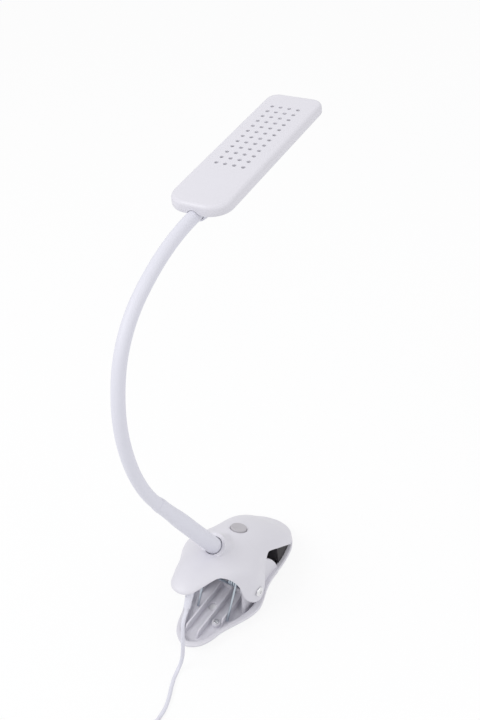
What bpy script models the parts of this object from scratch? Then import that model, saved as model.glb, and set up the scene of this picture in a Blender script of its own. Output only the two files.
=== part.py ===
"""Clip-on reading lamp with a gooseneck, a vented LED head and a spring clip.

Lengths are in metres, +Z is up, +Y runs from the clip's handles towards its jaws and the lamp head.
Every piece is modelled in lamp coordinates: y is measured from the point where the neck enters the
clip and z from the surface that the lamp stands on. One empty carries the lamp to the world frame,
whose origin is the centre of the standing lamp's base box.
"""
import math

import bmesh
import bpy
import numpy as np
from mathutils import Matrix, Vector

# ---------------------------------------------------------------- driving dimensions
NECK_ENTRY_X = 0.0022       # world place of the neck's entry into the clip
NECK_ENTRY_Y = -0.0495
NECK_YAW = math.radians(6.0)    # turn of the neck and head about the vertical through the entry
NECK_ENTRY_Z = 0.0622
GAP = 0.0003                # between pieces that touch
RUNNING = 0.0004            # between pieces that move on each other

# clip shells
LOWER_RIM_Z = 0.0090        # top of the lower shell's flange
LOWER_WALL = 0.0022
FLANGE_THICKNESS = 0.0024
UPPER_WALL = 0.0020
SPINE_REAR_Y = -0.024       # the shells' plan shapes are grown from this middle line
SPINE_FRONT_Y = 0.0500
HINGE_Y = 0.0058
HINGE_Z = 0.0248
PIN_RADIUS = 0.0020
PIN_HEAD_RADIUS = 0.0033
PIN_HEAD_THICKNESS = 0.0016
UPPER_EAR_X = 0.0278    # outer face of the upper shell's ears at the pin
LOWER_EAR_X = 0.0195    # outer face of the lower shell's ears
LOWER_EAR_THICKNESS = 0.0026
RIB_PLACES = (-0.0080, 0.0016, 0.0104)
RIB_THICKNESS = 0.0014
RIB_REARS = (-0.0350, -0.0350, -0.0190)
RIB_FRONT_Y = 0.0120
RIB_TOP_Z = 0.0072
HOLE_RADIUS = 0.0028
HOLES_X = (-0.0042, 0.0060)
HOLE_Y = -0.0075
LOWER_SCREW_X = 0.0072
LOWER_SCREW_Y = -0.0185
SCREW_POST_Z = 0.0056
JAW_PAD_REAR = 0.0420
PAD_CLEARANCE = 0.0004
LOWER_PAD_INSET = 0.0072
GROOVES = 5
GROOVE_START = 0.0060
GROOVE_PITCH = 0.0045
GROOVE_WIDTH = 0.0014
TRAY_LENGTH = 0.0240
TRAY_WIDTH = 0.0290
TRAY_FORWARD = 0.0055       # of the inner cover's middle before the button's axis
TRAY_DEPTH = 0.0125
TRAY_THICKNESS = 0.0014
TRAY_SCREWS = ((-0.0115, 0.0055), (0.0115, 0.0055))   # across and forward of the button's axis

# neck
NECK_RADIUS = 0.00375
CORE_RADIUS = 0.0022
NECK_START_HEADING = math.radians(116.6)
CUFF_LENGTH = 0.099
CUFF_ENTRY_RADIUS = 0.00555
CUFF_SHOULDER_RADIUS = 0.0050
CUFF_SHOULDER_AT = 0.066
CUFF_TIP_RADIUS = 0.00405
NECK_ARCS = ((0.066, -27.6), (0.040, -23.5), (0.040, -39.5), (0.054, -26.0), (0.022, 0.0))
NECK_JOINTS = (0.104, 0.142, 0.180, 0.216, 0.250, 0.284)
BALL_RADIUS = 0.0047        # spherical ends of the neck's links, centred on their joints
BOSS_LIP_RADIUS = 0.0086
BOSS_FOOT_RADIUS = 0.0122
BOSS_DEPTH = 0.0150
NUT_HEIGHT = 0.0035
CUFF_TAIL = 0.0215          # how far the cuff runs inside the boss

# head
HEAD_NEAR_Y = 0.0340
HEAD_LENGTH = 0.1270
HEAD_WIDTH = 0.0364
HEAD_TOP_Z = 0.3015
HEAD_THICKNESS = 0.0070
HEAD_NEAR_CORNER = 0.0125
HEAD_FAR_CORNER = 0.0070
HEAD_EDGE = 0.0024
HEAD_CROWN = 0.0007
HEAD_WALL = 0.0015
BASE_FLOOR = 0.0016
VENT_ROWS = 12
VENT_COLUMNS = 4
VENT_PITCH_ALONG = 0.00619
VENT_PITCH_ACROSS = 0.005625
VENT_RADIUS = 0.00105
VENT_CENTRE_Y = 0.1099
DIFFUSER_LENGTH = 0.0880
DIFFUSER_WIDTH = 0.0260
DIFFUSER_FROM_NEAR = 0.0260
BOARD_THICKNESS = 0.0012
BOARD_LIFT = 0.0012         # of the board over the base
LED_ROWS = 12
LED_SIZE = 0.0028
LED_HEIGHT = 0.0009
SOCKET_START_Y = 0.0400
SOCKET_LENGTH = 0.0170
SOCKET_RADIUS = 0.0056
SCREW_FROM_FAR = 0.0065
SCREW_SPREAD = 0.0220
SCREW_HEAD_RADIUS = 0.0020
SCREW_HEAD_HEIGHT = 0.0008
SCREW_LENGTH = 0.0040
SCREW_SHANK_RADIUS = 0.0010

# button
BUTTON_Y = 0.0273
BUTTON_RADIUS = 0.0056
BUTTON_TRAVEL = 0.0008
BUTTON_TILT = math.radians(-24.0)

# spring
WIRE_RADIUS = 0.0008
COIL_RADIUS = 0.0042
COIL_TURNS = 3
COIL_START_X = 0.0050
SPRING_REST_Y = -0.0130     # where the legs press on the lower handle
SPRING_BRIDGE = (-0.0170, 0.0575)

# cord
CORD_RADIUS = 0.0013
CORD_COIL_MEAN_RADIUS = 0.0147
CORD_COIL_HALF_WIDTH = 0.0056
CORD_COIL_HEIGHT = 0.0106
CORD_COIL_CENTRE = (0.0320, -0.1190)
TIE_WIDTH = 0.0050
RELIEF_LENGTH = 0.0140
RELIEF_FLANGE_RADIUS = 0.0031
CORD_EXIT = (0.0039, -0.0312, 0.0569)
CORD_EXIT_DIRECTION = (0.095, -0.613, -0.78)
CORD_ROUTE = ((0.0065, -0.0466, 0.0408), (0.0075, -0.0501, 0.0345), (0.0080, -0.0522, 0.0275),
              (0.0078, -0.0536, 0.0200), (0.0067, -0.0546, 0.0120), (0.0055, -0.0562, 0.0058),
              (0.0051, -0.0598, 0.0022), (0.0062, -0.0652, 0.0015), (0.0087, -0.0715, 0.0015),
              (0.0118, -0.0782, 0.0015), (0.0142, -0.0854, 0.0015), (0.0150, -0.0930, 0.0015),
              (0.0146, -0.1000, 0.0015), (0.01395, -0.1066, 0.0015))
PLUG_SIZE = (0.0158, 0.0215, 0.0078)
PLUG_SHELL = (0.0120, 0.0122, 0.0045)
PLUG_LINE = 0.0011          # the plug lies on the coil, along X, this far in front of its centre
TAIL_STRAIGHT = 0.0015
TAIL_BEND = 0.0055          # radius of the cord's last bend, from the coil into the plug
TAIL_HEIGHTS = (0.01245, 0.0129, 0.0136, 0.0143, 0.0148)

HINGE = Vector((0.0, HINGE_Y, HINGE_Z))
HEAD_BOTTOM_Z = HEAD_TOP_Z - HEAD_THICKNESS
HEAD_FAR_Y = HEAD_NEAR_Y + HEAD_LENGTH
HEAD_MID_Y = HEAD_NEAR_Y + HEAD_LENGTH / 2
DIFFUSER_Y = HEAD_NEAR_Y + DIFFUSER_FROM_NEAR + DIFFUSER_LENGTH / 2
NECK_ENTRY = Vector((0.0, 0.0, NECK_ENTRY_Z))
BOARD_HEIGHT = -0.0109    # middle of the switch's board below the button's face
HEAD_SCREWS = tuple((x, HEAD_FAR_Y - SCREW_FROM_FAR) for x in (-SCREW_SPREAD / 2, SCREW_SPREAD / 2))

# half plan outlines as (x, y), from the handle's end to the jaw's tip
UPPER_OUTLINE = ((0, -0.0400), (0.0052, -0.0388), (0.0088, -0.0352), (0.0112, -0.0295), (0.0137, -0.0240),
                 (0.0166, -0.0180), (0.0198, -0.0120), (0.0238, -0.0055), (0.0272, 0.0020), (0.0278, 0.0080),
                 (0.0262, 0.0145), (0.0236, 0.0200), (0.0218, 0.0265), (0.0212, 0.0350), (0.0213, 0.0450),
                 (0.0202, 0.0530), (0.0186, 0.0595), (0.0150, 0.0655), (0.0085, 0.0705), (0, 0.0726))
LOWER_OUTLINE = ((0, -0.0452), (0.0052, -0.0436), (0.0102, -0.0395), (0.0138, -0.0330), (0.0164, -0.0245),
                 (0.0205, -0.0162), (0.0243, -0.0088), (0.0270, -0.0018), (0.0279, 0.0045), (0.0268, 0.0100),
                 (0.0253, 0.0148), (0.0236, 0.0200), (0.0224, 0.0265), (0.0219, 0.0350), (0.0218, 0.0440),
                 (0.0209, 0.0520), (0.0192, 0.0590), (0.0150, 0.0660), (0.0088, 0.0708), (0, 0.0728))
# height of the upper shell's ridge, and how far its rounded edge falls from it, along y
UPPER_RIDGE = ((-0.0400, 0.0632), (-0.028, 0.0634), (-0.012, 0.0618), (0.000, 0.0590), (0.013, 0.0557),
               (0.0273, 0.0509), (0.038, 0.0452), (0.047, 0.0384), (0.055, 0.0310), (0.063, 0.0226),
               (0.069, 0.0178), (0.0726, 0.0148))
UPPER_DROP = ((-0.0400, 0.0044), (-0.028, 0.0062), (-0.014, 0.0110), (0.004, 0.0160), (0.025, 0.0160),
              (0.040, 0.0140), (0.053, 0.0110), (0.066, 0.0066), (0.0726, 0.0044))
# lower edge of the upper shell, seen from the side, as (y, z): the arch behind the ears,
# the round ears and the throat in front of them
ARCH_EDGE = ((-0.060, 0.0586), (-0.0380, 0.0586), (-0.0280, 0.0584), (-0.0200, 0.0576), (-0.0155, 0.0560),
             (-0.0118, 0.0520), (-0.0088, 0.0460), (-0.0066, 0.0385), (-0.0056, 0.0305), (-0.0036, 0.0238),
             (0.0000, 0.0185), (0.0048, 0.0162))
THROAT_EDGE = ((0.0048, 0.0162), (0.0086, 0.0163), (0.0124, 0.0180), (0.0156, 0.0200), (0.0184, 0.0230),
               (0.0210, 0.0262), (0.0236, 0.0306), (0.0262, 0.0346), (0.0294, 0.0362), (0.0337, 0.0336),
               (0.0391, 0.0293), (0.0465, 0.0235), (0.0535, 0.0168), (0.0585, 0.0122), (0.0640, 0.0096),
               (0.0680, 0.0094), (0.090, 0.0094))


# ---------------------------------------------------------------- materials
def material(name, colour, roughness, metallic=0.0):
    made = bpy.data.materials.new(name)
    made.use_nodes = True
    shader = made.node_tree.nodes["Principled BSDF"]
    shader.inputs["Base Color"].default_value = (*colour, 1.0)
    shader.inputs["Roughness"].default_value = roughness
    shader.inputs["Metallic"].default_value = metallic
    return made


# ---------------------------------------------------------------- geometry helpers
def curve_value(points, at):
    """Smooth curve through (position, value) points, as cubic spans with averaged slopes."""
    xs, ys = np.array(points, dtype=float).T
    secants = np.diff(ys) / np.diff(xs)
    slopes = np.concatenate([[secants[0]], (secants[:-1] + secants[1:]) / 2, [secants[-1]]])
    at = np.clip(at, xs[0], xs[-1])
    span = np.clip(np.searchsorted(xs, at, side="right") - 1, 0, len(xs) - 2)
    width = xs[span + 1] - xs[span]
    t = (at - xs[span]) / width
    return ((2 * t**3 - 3 * t**2 + 1) * ys[span] + (t**3 - 2 * t**2 + t) * width * slopes[span]
            + (3 * t**2 - 2 * t**3) * ys[span + 1] + (t**3 - t**2) * width * slopes[span + 1])


def smooth_path(points, steps):
    """Catmull-Rom curve through the points, with a number of steps in each span."""
    pts = np.array(points, dtype=float)
    padded = np.vstack([2 * pts[0] - pts[1], pts, 2 * pts[-1] - pts[-2]])
    t = np.linspace(0, 1, steps, endpoint=False)[:, None]
    spans = []
    for a, b, c, d in zip(padded, padded[1:], padded[2:], padded[3:]):
        spans.append(0.5 * (2 * b + (c - a) * t + (2 * a - 5 * b + 4 * c - d) * t**2
                            + (3 * b - a - 3 * c + d) * t**3))
    return np.vstack(spans + [pts[-1:]])


def closed_outline(half, steps):
    """Plan outline from its half: the half is mirrored, and its ends are kept smooth."""
    half = np.array(half, dtype=float)
    mirrored = half[-2:0:-1] * (-1, 1)
    loop = np.vstack([half, mirrored])
    around = np.vstack([loop[-2:], loop, loop[:3]])
    path = smooth_path(around, steps)
    return path[2 * steps:(2 + len(loop)) * steps]


def grown(outline, share):
    """Points between the middle line (share 0) and the outline (share 1)."""
    spine = np.column_stack([np.zeros(len(outline)), np.clip(outline[:, 1], SPINE_REAR_Y, SPINE_FRONT_Y)])
    return spine + share * (outline - spine)


def new_object(name, verts, faces, look):
    """Mesh object from points and faces, its doubles merged and its faces turned outwards."""
    bm = bmesh.new()
    made = [bm.verts.new(p) for p in verts]
    for face in faces:
        bm.faces.new([made[i] for i in face])
    bmesh.ops.remove_doubles(bm, verts=bm.verts, dist=1e-6)
    bmesh.ops.recalc_face_normals(bm, faces=bm.faces)
    mesh = bpy.data.meshes.new(name)
    bm.to_mesh(mesh)
    bm.free()
    obj = bpy.data.objects.new(name, mesh)
    bpy.context.scene.collection.objects.link(obj)
    mesh.materials.append(look)
    return obj


def rings_object(name, rings, look, wrap=False):
    """Solid from a row of equal rings. Its end rings are capped, or joined when wrap is set."""
    rings = [np.asarray(ring, dtype=float) for ring in rings]
    count = len(rings[0])
    last = len(rings) if wrap else len(rings) - 1
    faces = []
    for i in range(last):
        j = (i + 1) % len(rings)
        for k in range(count):
            n = (k + 1) % count
            faces.append((i * count + k, i * count + n, j * count + n, j * count + k))
    if not wrap:
        faces.append(tuple(range(count - 1, -1, -1)))
        faces.append(tuple((len(rings) - 1) * count + k for k in range(count)))
    return new_object(name, np.vstack(rings), faces, look)


def frame_along(direction):
    """Two unit directions across a given one; the first lies along X where it can."""
    direction = np.asarray(direction, dtype=float)
    direction = direction / np.linalg.norm(direction)
    side = np.array((1.0, 0.0, 0.0)) if abs(direction[0]) < 0.9 else np.array((0.0, 1.0, 0.0))
    side = side - direction * side.dot(direction)
    side /= np.linalg.norm(side)
    return direction, side, np.cross(direction, side)


def turned(name, profile, centre, axis, look, sides=24, wrap=False):
    """Turned solid: profile is (radius, distance along the axis) from end to end."""
    along, side, up = frame_along(axis)
    turn = np.linspace(0, 2 * math.pi, sides, endpoint=False)
    rings = [np.asarray(centre) + along * far + radius * (np.outer(np.cos(turn), side) + np.outer(np.sin(turn), up))
             for radius, far in profile]
    return rings_object(name, rings, look, wrap)


def prism(name, outline, low, high, look, axis="X"):
    """Outline extruded along an axis: (y, z) along X, or (x, y) along Z."""
    outline = np.asarray(outline, dtype=float)
    if axis == "X":
        rings = [np.column_stack([np.full(len(outline), x), outline]) for x in (low, high)]
    else:
        rings = [np.column_stack([outline, np.full(len(outline), z)]) for z in (low, high)]
    return rings_object(name, rings, look)


def block(name, centre, size, look):
    cx, cy, cz = centre
    sx, sy, sz = (v / 2 for v in size)
    return prism(name, ((cx - sx, cy - sy), (cx + sx, cy - sy), (cx + sx, cy + sy), (cx - sx, cy + sy)),
                 cz - sz, cz + sz, look, "Z")


def rounded_rectangle(width, length, far_radius, mid_y, steps=5, near_radius=None):
    """Plan outline with round corners; the two near ones can have a radius of their own."""
    turn = np.linspace(0, math.pi / 2, steps)
    corners = []
    for quarter, (sx, sy) in enumerate(((1, 1), (-1, 1), (-1, -1), (1, -1))):
        radius = far_radius if sy > 0 or near_radius is None else near_radius
        angle = turn + quarter * math.pi / 2
        cx, cy = sx * (width / 2 - radius), mid_y + sy * (length / 2 - radius)
        corners.append(np.column_stack([cx + radius * np.cos(angle), cy + radius * np.sin(angle)]))
    return np.vstack(corners)


def settle(obj):
    """Replace an object's mesh by what its modifiers make of it."""
    bpy.context.view_layer.update()
    graph = bpy.context.evaluated_depsgraph_get()
    mesh = bpy.data.meshes.new_from_object(obj.evaluated_get(graph))
    obj.modifiers.clear()
    obj.data = mesh


def combine(target, tool, operation):
    """Boolean of two solids; the tool is used up."""
    step = target.modifiers.new(operation, "BOOLEAN")
    step.operation = operation
    step.solver = "EXACT"
    step.object = tool
    settle(target)
    bpy.data.objects.remove(tool)


def cut(target, *tools):
    for tool in tools:
        combine(target, tool, "DIFFERENCE")


def add(target, *tools):
    for tool in tools:
        combine(target, tool, "UNION")


def pivot(name, position, parent=None):
    """Empty on a joint's axis, at a place in lamp coordinates."""
    empty = bpy.data.objects.new(name, None)
    bpy.context.scene.collection.objects.link(empty)
    empty["place"] = tuple(position)
    if parent:
        empty.parent = parent
        empty.location = Vector(position) - Vector(parent["place"])
    return empty


def attach(obj, parent):
    """Hang a piece, modelled in lamp coordinates, on its pivot."""
    obj.data.transform(Matrix.Translation(-Vector(parent["place"])))
    obj.parent = parent
    obj.data.shade_smooth()
    obj.data.set_sharp_from_angle(angle=math.radians(35))
    return obj


# ---------------------------------------------------------------- clip shells
def dome_rings(outline, inset):
    """Rings of the upper shell's dome, from the ridge line to the edge."""
    middle = grown(outline, 0.0)
    reach = np.linalg.norm(outline - middle, axis=1, keepdims=True)
    rings = []
    for share in (0, 0.3, 0.55, 0.75, 0.88, 0.96, 1.0):
        plan = middle + (outline - middle) * share * (1 - inset / reach)
        fall = 1 - math.sqrt(1 - share**2)
        height = curve_value(UPPER_RIDGE, plan[:, 1]) - fall * curve_value(UPPER_DROP, plan[:, 1]) - inset
        rings.append(np.column_stack([plan, height]))
    return rings


def level_ring(ring, height):
    return np.column_stack([ring[:, :2], np.full(len(ring), height)])


def dome(name, outline, inset, floor_z, look):
    """Solid under the dome, down to a level floor."""
    rings = dome_rings(outline, inset)
    return closed_rings(name, rings + [level_ring(rings[-1], floor_z)], look, True, False)


def upper_shell(white):
    """Domed shell with a flared neck boss, an arch on each side, ears for the pin and an open throat."""
    outline = closed_outline(UPPER_OUTLINE, 3)
    obj = dome("upper_shell", outline, 0.0, LOWER_RIM_Z + 2 * GAP, white)
    along = cuff_direction()
    lip = BOSS_LIP_RADIUS
    flare = ((0, -BOSS_DEPTH), (BOSS_FOOT_RADIUS, -BOSS_DEPTH), (lip + 0.0024, -0.0125), (lip + 0.0013, -0.0085),
             (lip + 0.0006, -0.0045), (lip, -0.0010), (lip - 0.0006, 0), (0, 0))
    add(obj, turned("boss", flare, NECK_ENTRY, along, white, 32))
    cut(obj, dome("inside", outline, UPPER_WALL, -0.02, white))
    arch = np.vstack([smooth_path(ARCH_EDGE, 3), [(0.0026, -0.02), (-0.060, -0.02)]])
    throat = np.vstack([smooth_path(THROAT_EDGE, 3), [(0.090, -0.02), (0.0026, -0.02)]])
    cut(obj, prism("arch", arch, -0.05, 0.05, white), prism("throat", throat, -0.05, 0.05, white))
    sleeve = CUFF_TAIL - NUT_HEIGHT - GAP
    add(obj, rod("sleeve", BOSS_LIP_RADIUS - 0.0003, -sleeve, -0.0040, NECK_ENTRY, along, white, 32))
    lug = rod("cord_lug", RELIEF_FLANGE_RADIUS, -0.0070, -GAP, CORD_EXIT, CORD_EXIT_DIRECTION, white, 16)
    cut(lug, clipped_above(outline, white))
    add(obj, lug)
    cut(obj, rod("bore", CUFF_ENTRY_RADIUS + GAP, -0.03, 0.01, NECK_ENTRY, along, white))
    centre, direction = button_place()
    cut(obj, rod("button_hole", BUTTON_RADIUS + RUNNING, -0.01, 0.01, centre, direction, white, 32))
    cut(obj, rod("pin_hole", PIN_RADIUS + GAP, -0.05, 0.05, HINGE, (1, 0, 0), white))
    for side in (-1, 1):
        cut(obj, rod("pin_seat", PIN_HEAD_RADIUS + GAP, UPPER_EAR_X, 0.05, HINGE, (side, 0, 0), white))
    for x, y in TRAY_SCREWS:
        top = np.array(along_button(0.004, y, x))
        post = rod("post", 0.0028, -TRAY_DEPTH + TRAY_THICKNESS / 2 + GAP - 0.004, 0, top, direction, white, 16)
        cut(post, clipped_above(outline, white))
        add(obj, post)
        cut(obj, rod("post_hole", SCREW_SHANK_RADIUS + GAP, -TRAY_DEPTH - 0.01, -0.0075, top, direction, white, 12))
    return obj


def cuff_direction():
    """Direction of the neck's cuff out of the clip, in the clip's own frame."""
    ahead = math.cos(NECK_START_HEADING)
    return np.array((-math.sin(NECK_YAW) * ahead, math.cos(NECK_YAW) * ahead, math.sin(NECK_START_HEADING)))


def clipped_above(outline, white):
    """Everything over the middle of the upper shell's wall, as a cutter."""
    rings = dome_rings(outline, UPPER_WALL / 2)
    return closed_rings("above", rings + [level_ring(rings[-1], HEAD_BOTTOM_Z)], white, True, False)


def rod(name, radius, low, high, centre, axis, look, sides=24):
    """Plain round bar or bore cutter between two distances along an axis."""
    return turned(name, ((0, low), (radius, low), (radius, high), (0, high)), centre, axis, look, sides)


def button_place():
    """Centre of the button's face and the direction it moves out along."""
    height = float(curve_value(UPPER_RIDGE, np.array([BUTTON_Y]))[0])
    direction = np.array((0.0, -math.sin(BUTTON_TILT), math.cos(BUTTON_TILT)))
    return np.array((0.0, BUTTON_Y, height)), direction


def lower_shell(white):
    """Shallow pan with a flat flange, long ribs in its handle and an ear on each side for the pin."""
    outline = closed_outline(LOWER_OUTLINE, 3)
    flange_low = LOWER_RIM_Z - FLANGE_THICKNESS
    steps = ((0, 0), (0.70, 0), (0.76, 0.0016), (0.86, flange_low), (1.0, flange_low),
             (1.0, LOWER_RIM_Z), (0.845, LOWER_RIM_Z), (0.80, LOWER_RIM_Z - 0.0012),
             (0.74, LOWER_WALL + 0.0006), (0.71, LOWER_WALL), (0, LOWER_WALL))
    rings = [np.column_stack([grown(outline, share), np.full(len(outline), height)]) for share, height in steps]
    count = len(outline)
    faces = [(i * count + k, i * count + (k + 1) % count, (i + 1) * count + (k + 1) % count, (i + 1) * count + k)
             for i in range(len(rings) - 1) for k in range(count)]
    obj = new_object("lower_shell", np.vstack(rings), faces, white)
    for side in (-1, 1):
        outer, inner = side * LOWER_EAR_X, side * (LOWER_EAR_X - LOWER_EAR_THICKNESS)
        add(obj, prism("ear", lower_ear_profile(), min(outer, inner), max(outer, inner), white))
    for x, rear in zip(RIB_PLACES, RIB_REARS):
        profile = ((rear, LOWER_WALL - 0.001), (RIB_FRONT_Y, LOWER_WALL - 0.001), (RIB_FRONT_Y, RIB_TOP_Z),
                   (rear + 0.004, RIB_TOP_Z))
        add(obj, prism("rib", profile, x - RIB_THICKNESS / 2, x + RIB_THICKNESS / 2, white))
    add(obj, block("tie", ((RIB_PLACES[0] + RIB_PLACES[-1]) / 2, RIB_FRONT_Y, LOWER_WALL + 0.0015),
                   (RIB_PLACES[-1] - RIB_PLACES[0], RIB_THICKNESS, 0.004), white))
    pin = PIN_RADIUS + RUNNING
    cut(obj, rod("pin_hole", pin, -0.05, 0.05, HINGE, (1, 0, 0), white))
    for x in HOLES_X:
        cut(obj, rod("moulding_hole", HOLE_RADIUS, -0.01, 0.01, (x, HOLE_Y, LOWER_WALL), (0, 0, 1), white, 20))
    add(obj, rod("screw_post", 0.0030, 0.001, SCREW_POST_Z, (LOWER_SCREW_X, LOWER_SCREW_Y, 0), (0, 0, 1), white, 16))
    cut(obj, rod("screw_hole", SCREW_SHANK_RADIUS + GAP, 0.0008, 0.02, (LOWER_SCREW_X, LOWER_SCREW_Y, 0), (0, 0, 1),
                 white, 12))
    return obj


def lower_ear_profile():
    """Side view of a lower ear: a gusset that rises from the pan to a round lobe about the pin."""
    radius = 0.0068
    turn = np.linspace(math.radians(215), math.radians(60), 10)
    lobe = np.column_stack([HINGE_Y + radius * np.cos(turn), HINGE_Z + radius * np.sin(turn)])
    front = smooth_path((tuple(lobe[-1]), (0.0170, 0.0312), (0.0235, 0.0310), (0.0290, 0.0280), (0.0340, 0.0215),
                         (0.0375, 0.0145), (0.0395, LOWER_RIM_Z - 0.0012)), 3)[1:]
    foot = ((0.0395, LOWER_WALL - 0.001), (-0.0030, LOWER_WALL - 0.001))
    return np.vstack([lobe, front, foot])


# ---------------------------------------------------------------- neck
def neck_point(s):
    """Place and heading on the neck's centreline at length s: a straight start, then arcs."""
    y, z, heading = 0.0, NECK_ENTRY_Z, NECK_START_HEADING
    if s <= CUFF_LENGTH:
        return np.array((0.0, y + s * math.cos(heading), z + s * math.sin(heading))), heading
    y += CUFF_LENGTH * math.cos(heading)
    z += CUFF_LENGTH * math.sin(heading)
    left = s - CUFF_LENGTH
    for length, degrees in NECK_ARCS:
        part = min(left, length)
        turn = math.radians(degrees) * part / length
        chord = part if abs(turn) < 1e-9 else part * math.sin(turn / 2) / (turn / 2)
        y += chord * math.cos(heading + turn / 2)
        z += chord * math.sin(heading + turn / 2)
        heading += turn
        left -= part
        if left <= 0:
            break
    return np.array((0.0, y, z)), heading


def neck_direction(s):
    heading = neck_point(s)[1]
    return np.array((0.0, math.cos(heading), math.sin(heading)))


def neck_ring(s, radius, sides, joint=None):
    """Ring of the neck; near a joint it is set square to the joint's own tangent."""
    if joint is None:
        place, along = neck_point(s)[0], neck_direction(s)
    else:
        along = neck_direction(joint)
        place = neck_point(joint)[0] + (s - joint) * along
    up = np.cross(along, (1.0, 0.0, 0.0))
    turn = np.linspace(0, 2 * math.pi, sides, endpoint=False)
    return place + radius * (np.outer(np.cos(turn), (1.0, 0.0, 0.0)) + np.outer(np.sin(turn), up))


def ball_offset(ball, radius):
    return math.sqrt(ball**2 - radius**2)


def link_rings(start, end, radius, sides, socket, ball):
    """Rings of one side of a neck link, from its socket end to its ball end."""
    rings = []
    first, last = start, end
    if socket:
        rings.append(neck_ring(start + ball_offset(BALL_RADIUS + GAP, radius), radius, sides, start))
        first = start + BALL_RADIUS + 0.002
    if ball:
        last = end - 0.002
    count = max(2, int(round((last - first) / 0.0065)) + 1)
    rings += [neck_ring(s, radius, sides) for s in np.linspace(first, last, count)]
    if ball:
        rings.append(neck_ring(end + ball_offset(BALL_RADIUS, radius), radius, sides, end))
    return rings


def neck_core(index, start, end, steel, socket=True, ball=True):
    """Flexible steel core of one link, with a cup at its start and a ball end."""
    rings = link_rings(start, end, CORE_RADIUS, 8, socket, ball)
    inner = (0.0, 0.6 * CORE_RADIUS)
    if socket:
        rings = [neck_ring(start + ball_offset(BALL_RADIUS + GAP, r), r, 8, start) for r in inner] + rings
    if ball:
        rings += [neck_ring(end + ball_offset(BALL_RADIUS, r), r, 8, end) for r in inner[::-1]]
    return closed_rings(f"neck_core_{index}", rings, steel, socket, ball)


def closed_rings(name, rings, look, tip_first, tip_last):
    """Rings with a point at either end, or a flat cap where there is none."""
    count = len(rings[0])
    faces = [(i * count + k, i * count + (k + 1) % count, (i + 1) * count + (k + 1) % count, (i + 1) * count + k)
             for i in range(len(rings) - 1) for k in range(count)]
    if not tip_first:
        faces.append(tuple(range(count)))
    if not tip_last:
        faces.append(tuple((len(rings) - 1) * count + k for k in range(count)))
    return new_object(name, np.vstack(rings), faces, look)


def neck_sleeve(index, start, end, white, socket=True, ball=True):
    """Soft sleeve of one link: a tube whose ends lie on the joints' spheres."""
    outer = link_rings(start, end, NECK_RADIUS, 12, socket, ball)
    inner = link_rings(start, end, CORE_RADIUS + GAP, 12, socket, ball)
    return rings_object(f"neck_sleeve_{index}", outer + inner[::-1], white, wrap=True)


def neck_cuff(white):
    """Long straight tapered cuff at the neck's foot, bored for the core."""
    bore = CORE_RADIUS + GAP
    tip = NECK_JOINTS[0] + ball_offset(BALL_RADIUS, CUFF_TIP_RADIUS)
    mouth = NECK_JOINTS[0] + ball_offset(BALL_RADIUS, bore)
    profile = ((bore, -CUFF_TAIL), (CUFF_ENTRY_RADIUS, -CUFF_TAIL), (CUFF_ENTRY_RADIUS, 0.0),
               (CUFF_SHOULDER_RADIUS, CUFF_SHOULDER_AT), (CUFF_SHOULDER_RADIUS - 0.0004, CUFF_SHOULDER_AT + 0.008),
               (CUFF_TIP_RADIUS, CUFF_LENGTH), (CUFF_TIP_RADIUS, tip), (bore, mouth))
    return turned("neck_cuff", profile, NECK_ENTRY, neck_direction(0.0), white, 20, wrap=True)


# ---------------------------------------------------------------- head
def head_ring(inset, height, crown=0.0):
    """Ring of the head's plan outline, set in from its side, optionally following the top's crown."""
    outline = rounded_rectangle(HEAD_WIDTH - 2 * inset, HEAD_LENGTH - 2 * inset, HEAD_FAR_CORNER - inset, HEAD_MID_Y,
                                6, HEAD_NEAR_CORNER - inset)
    sag = crown * (outline[:, 0] / (HEAD_WIDTH / 2))**2
    return np.column_stack([outline, height - sag])


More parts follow.
